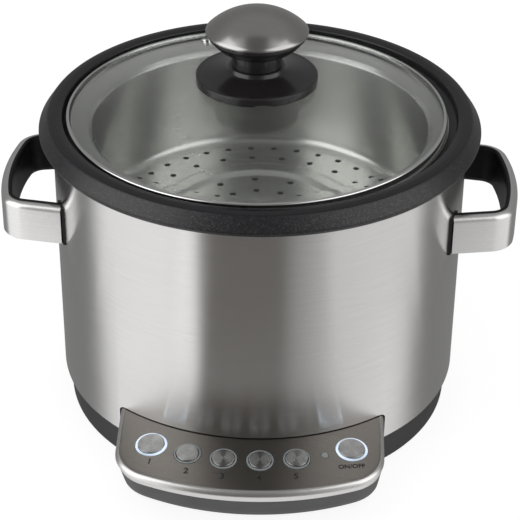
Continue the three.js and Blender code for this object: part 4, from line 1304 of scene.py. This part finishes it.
HANDLE_TOP = RIM_EDGE - 35.7
HANDLE_FOOT = HANDLE_TOP - 26.0
HANDLE_R = DRUM_R + 35.1
HANDLE_SPAN = 54.2
HANDLE_TAPER = math.radians(9.5)
HANDLE_CORNER = 18.0
HANDLE_ROLL = 3.8
HANDLE_SHEET = 1.0
ARM_STAND_OFF = 2.6
ARM_START = Vector((math.sqrt(DRUM_R ** 2 - HANDLE_SPAN ** 2), HANDLE_SPAN))
ARM_ALONG = Vector((math.cos(HANDLE_TAPER), -math.sin(HANDLE_TAPER)))
ARM_OUT = Vector((math.sin(HANDLE_TAPER), math.cos(HANDLE_TAPER)))
ARM_STEPS = 4
BEND_STEPS = 12
BOW_STEPS = 10


def heading(angle):
    return Vector((math.cos(angle), math.sin(angle)))


def handle_stations():
    """Points and outward normals along the outer face, from the back arm to the front arm."""
    inner = HANDLE_R - HANDLE_CORNER
    base = ARM_START - ARM_OUT * HANDLE_CORNER
    along = base.dot(ARM_ALONG)
    travel = -along + math.sqrt(along ** 2 - base.length_squared + inner ** 2)
    centre = base + ARM_ALONG * travel
    corner_end = math.atan2(centre.y, centre.x)
    corner_start = math.atan2(ARM_OUT.y, ARM_OUT.x)
    half = []
    for k in range(ARM_STEPS + 1):
        reach = travel * k / ARM_STEPS + ARM_STAND_OFF * (1 - k / ARM_STEPS)
        half.append((ARM_START + ARM_ALONG * reach, ARM_OUT))
    for k in range(1, BEND_STEPS + 1):
        normal = heading(corner_start + (corner_end - corner_start) * k / BEND_STEPS)
        half.append((centre + normal * HANDLE_CORNER, normal))
    for k in range(1, BOW_STEPS + 1):
        normal = heading(corner_end * (1 - k / BOW_STEPS))
        half.append((normal * HANDLE_R, normal))
    front = [(Vector((p.x, -p.y)), Vector((n.x, -n.y))) for p, n in reversed(half[:-1])]
    return half + front


def along_handle(name, section, side):
    rings = []
    for point, normal in handle_stations():
        ring = []
        for depth, z in section:
            x = side * (point.x - normal.x * depth)
            y = side * (point.y - normal.y * depth) + DRUM_Y
            ring.append((x, y, z))
        rings.append(ring)
    return lofted(name, rings, closed=True, capped=False)


def make_handle(name, side):
    centre = (HANDLE_ROLL, HANDLE_TOP - HANDLE_ROLL)
    roll_end = math.pi / 2 - 0.25
    band = [
        (0.25, HANDLE_FOOT),
        (0.0, HANDLE_FOOT + 0.3),
        *arc(centre, HANDLE_ROLL, math.pi, roll_end, 8),
        *arc(centre, HANDLE_ROLL - HANDLE_SHEET, roll_end, math.pi, 8),
        (HANDLE_SHEET, HANDLE_FOOT + 0.3),
        (HANDLE_SHEET - 0.2, HANDLE_FOOT),
    ]
    shell = along_handle("handle_band_" + name, band, side)
    finish_piece(shell, "handle", "base", ["handle_shell_" + name])
    start = HANDLE_SHEET + GAP
    lip = HANDLE_ROLL + GAP + 0.6
    lip_top = HANDLE_TOP + 0.4
    mid = (HANDLE_TOP + HANDLE_FOOT) / 2
    outer = [
        (start, HANDLE_FOOT + GAP),
        *arc(centre, HANDLE_ROLL - start, math.pi, math.pi / 2, 5),
        (lip, HANDLE_TOP - start),
        (lip, lip_top - 0.5),
        (lip + 0.5, lip_top),
    ]
    inner = softened([
        (lip + 2.0, lip_top),
        (lip + 2.5, lip_top - 0.7, 0.4),
        (lip + 2.1, HANDLE_TOP - 2.2, 0.4),
        (7.3, HANDLE_TOP - 4.5, 1.0),
        (8.3, mid, 6.0),
        (9.4, HANDLE_FOOT + 3.4, 2.4),
        (7.6, HANDLE_FOOT + GAP, 1.5),
        (6.4, HANDLE_FOOT + GAP),
    ], 4)
    grip = along_handle("handle_liner_" + name, outer + inner, side)
    finish_piece(grip, "black", "base", ["handle_grip_" + name])


# Back, feet and small parts

FLANGE_WIDTH = 3
SOCKET_WALL = 2
SOCKET_DEPTH = 16
PIN_PITCH = 7


def make_inlet():
    across, up = INLET_HALF
    face = DRUM_Y + DRUM_R + 2.4

    def inlet_block(name, grow, back, front):
        low = (-across - grow, back, INLET_Z - up - grow)
        high = (across + grow, front, INLET_Z + up + grow)
        return block(name, low, high)

    body = inlet_block("inlet_moulding", 0, face - 20, face)
    flange = inlet_block("inlet_flange", FLANGE_WIDTH, face - 3.8, face)
    drum_r = DRUM_R + GAP
    cut_with(flange, turned("drum_tool", [(0, 0), (drum_r, 0), (drum_r, 100), (0, 100)]))
    cut_with(body, flange, "UNION")
    cut_with(body, inlet_block("socket_tool", -SOCKET_WALL, face - SOCKET_DEPTH, face + SOCKET_DEPTH))
    apply_modifier(
        body,
        "BEVEL",
        "edges",
        width=0.6 * MM,
        segments=3,
        limit_method="ANGLE",
        angle_limit=math.radians(50),
    )
    smooth(body)
    pins = []
    for k in (-1, 0, 1):
        drop = 2.0 if k == 0 else -2.0
        middle = INLET_Z + drop
        x = k * PIN_PITCH
        pins.append(block("pin", (x - 1, face - 16.2, middle - 2), (x + 1, face - 7, middle + 2)))
    pin_set = joined(pins)
    pin_set.name = "inlet_pins"
    apply_modifier(pin_set, "BEVEL", "edges", width=0.4 * MM, segments=2)
    finish_piece(pin_set, "bright", "base")
    finish_piece(body, "black", "base", ["power_inlet"])


def make_feet():
    top = 3.7
    recess = 2.5
    outline = [
        (3.5, 0.0),
        *softened([(7.0, 0.0), (8.2, 0.1, 0.6), (9.0, top)], 4),
        (1.9, top),
        (1.9, recess),
        (3.5, recess),
    ]
    for name in ("back_right", "back_left", "front_left", "front_right"):
        low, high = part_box("foot_" + name)
        centre = ((low[0] + high[0]) / 2 / MM, (low[1] + high[1]) / 2 / MM)
        foot = turned("sole_" + name, outline, 48, centre)
        finish_piece(foot, "rubber", "base", ["foot_" + name])


# Stage and light, with distances in metres and tones as shares of white

FLOOR_SIZE = 12
PAPER_TONE = 0.86
CAMERA_WHITE = 1.22
CAMERA_SHARE = 0.72
NEAR_TONE = 0.8
SOFT_TONE = 0.45

# The floor that reflections see: how far from the drum's axis it ends, and how far back
NEAR_FLOOR = (0.212, 0.236)
NEAR_FLOOR_BACK = (-0.12, -0.09)

# What reflections see round the part: degrees from its front, towards its right, and a tone
STUDIO_TONES = [
    (-180, (0.26, 0.26, 0.26)),
    (-104, (0.24, 0.24, 0.24)),
    (-97, (0.94, 0.94, 0.94)),
    (-70, (1.12, 1.12, 1.12)),
    (-34, (1.08, 1.08, 1.08)),
    (-29, (0.16, 0.15, 0.142)),
    (14, (0.16, 0.15, 0.142)),
    (22, (0.32, 0.32, 0.31)),
    (50, (0.66, 0.66, 0.66)),
    (80, (0.92, 0.92, 0.92)),
    (98, (0.90, 0.90, 0.90)),
    (105, (0.24, 0.24, 0.23)),
    (180, (0.26, 0.26, 0.26)),
]

# The ceiling that reflections see, from the front's dark middle to its pale sides, and grey behind
CEILING_FROM = (0.45, 0.75)
CEILING_SIDES = (0.22, 0.40)
CEILING_BACK = (-0.04, 0.06)
CEILING_DARK = 0.15
CEILING_PALE = 0.62
CEILING_GREY = 0.32

# Patches of pale floor that reflections see at the front's two sides: degrees, tone and cover
FLOOR_PATCHES = [
    (-180, 0.95, 0.0),
    (-82, 0.98, 0.0),
    (-76, 0.98, 1.0),
    (-38, 0.98, 1.0),
    (-34, 0.98, 0.0),
    (32, 0.70, 0.0),
    (37, 0.70, 1.0),
    (80, 0.80, 1.0),
    (86, 0.80, 0.0),
    (180, 0.80, 0.0),
]
PATCH_REACH = (0.26, 0.30)


def set_floor():
    """A pale table. Reflections see it near the panel and in its patches, and the studio elsewhere."""
    deselect_all()
    bpy.ops.mesh.primitive_plane_add(size=FLOOR_SIZE, location=(0, 0, 0))
    floor = bpy.context.object
    floor.name = "floor"
    finish = Finish("pale_floor", (PAPER_TONE, PAPER_TONE, PAPER_TONE), 0.9)
    finish.plain(Specular_IOR_Level=0.1)
    rays = finish.node("LightPath").outputs

    def glowing(inputs):
        return finish.node("Emission", inputs).outputs["Emission"]

    from_drum = finish.vector("SUBTRACT", finish.place, (0, DRUM_Y * MM, 0))
    reach = finish.vector("LENGTH", from_drum)
    behind = finish.between(finish.parts(finish.place)["Y"], *NEAR_FLOOR_BACK)
    away = finish.math("MAXIMUM", finish.between(reach, *NEAR_FLOOR), behind)
    stops = [(angle, (tone, tone, tone, cover)) for angle, tone, cover in FLOOR_PATCHES]
    patches = finish.round_the_part(from_drum, stops)
    cover = finish.math("MULTIPLY", patches["Alpha"], finish.between(reach, *PATCH_REACH))
    through = finish.node("BsdfTransparent").outputs["BSDF"]
    beyond = finish.blended(cover, through, glowing({"Color": patches["Color"]}))
    mirrored = finish.blended(away, glowing({"Strength": NEAR_TONE}), beyond)
    table = finish.blended(finish.reflected(rays), finish.shader.outputs["BSDF"], mirrored)
    share = finish.math("MULTIPLY", rays["Is Camera Ray"], CAMERA_SHARE)
    finish.show(finish.blended(share, table, glowing({"Strength": CAMERA_WHITE})))
    floor.data.materials.append(finish.material)


def set_world():
    """White to the camera and through glass, soft grey as light, and the studio in reflections."""
    world = bpy.data.worlds.new("studio")
    bpy.context.scene.world = world
    world.use_nodes = True
    wiring = Wiring(world.node_tree)
    rays = wiring.node("LightPath").outputs
    way = wiring.node("TexCoord").outputs["Generated"]
    parts = wiring.parts(way)

    def backdrop(colour, strength=1.0):
        return wiring.node("Background", {"Color": colour, "Strength": strength}).outputs["Background"]

    tones = wiring.round_the_part(way, [(angle, (*tone, 1)) for angle, tone in STUDIO_TONES])
    sideways = wiring.math("ABSOLUTE", parts["X"])
    front_tone = wiring.between(sideways, *CEILING_SIDES, CEILING_DARK, CEILING_PALE)
    ceiling = wiring.blended(
        wiring.between(parts["Y"], *CEILING_BACK),
        backdrop((1, 1, 1, 1), front_tone),
        backdrop((CEILING_GREY, CEILING_GREY, CEILING_GREY, 1)),
    )
    room = wiring.blended(wiring.between(parts["Z"], *CEILING_FROM), backdrop(tones["Color"]), ceiling)
    soft = wiring.tree.nodes["Background"]
    soft.inputs["Color"].default_value = (SOFT_TONE, SOFT_TONE, SOFT_TONE, 1)
    either = wiring.math("MAXIMUM", rays["Is Camera Ray"], rays["Is Transmission Ray"])
    seen = wiring.blended(either, soft.outputs["Background"], backdrop((1, 1, 1, 1)))
    whole = wiring.blended(wiring.reflected(rays), seen, room)
    wiring.feed(wiring.tree.nodes["World Output"].inputs["Surface"], whole)


LAMP_AIM = Vector((0, 0, 0.15))
LAMP_DISTANCE = 1.3
LAMP_RISE = math.radians(34)
LAMP_WIDTH = 1.2
LAMP_HEIGHT = 1.3


def add_lamp(name, azimuth, brightness):
    """A soft box, placed by its direction from the part's front and aimed at its middle."""
    lamp = bpy.data.lights.new(name, "AREA")
    lamp.shape = "RECTANGLE"
    lamp.size = LAMP_WIDTH
    lamp.size_y = LAMP_HEIGHT
    lamp.energy = math.pi * LAMP_WIDTH * LAMP_HEIGHT * brightness
    box = bpy.data.objects.new(name, lamp)
    turn = math.radians(azimuth)
    level = math.cos(LAMP_RISE)
    way = Vector((math.sin(turn) * level, -math.cos(turn) * level, math.sin(LAMP_RISE)))
    box.location = LAMP_AIM + way * LAMP_DISTANCE
    box.rotation_euler = way.to_track_quat("Z", "Y").to_euler()
    bpy.context.scene.collection.objects.link(box)


# Assembly

make_bowl()
make_tray()
make_lid_glass()
make_lid_band()
make_vent()
make_knob()
make_drum()
make_collar()
make_well()
make_spring()
make_fascia()
make_controls()
for name, share, cap in CONTROL_SHARES[:-1]:
    make_mark(name, share, NUMBER_SIZE)
make_mark("ON/OFF", CONTROL_SHARES[-1][1], WORD_SIZE)
make_plinth()
make_handle("right", 1)
make_handle("left", -1)
make_inlet()
make_feet()

dress_node("control_board", "board")
dress_node("sensor_holder", "black")
dress_node("knob_screw", "bright")
dress_node("knob_washer", "rubber")
for end in ("left_back", "left_front", "right_back", "right_front"):
    dress_node("handle_gasket_" + end, "rubber")
    dress_node("handle_screw_" + end, "bright")
for end in ("back_left", "back_right", "front_left", "front_right"):
    dress_node("foot_screw_" + end, "bright")

set_floor()
set_world()
add_lamp("left_soft_box", -68, 1.0)
add_lamp("right_soft_box", 66, 0.75)

bpy.context.scene.view_settings.view_transform = "Standard"
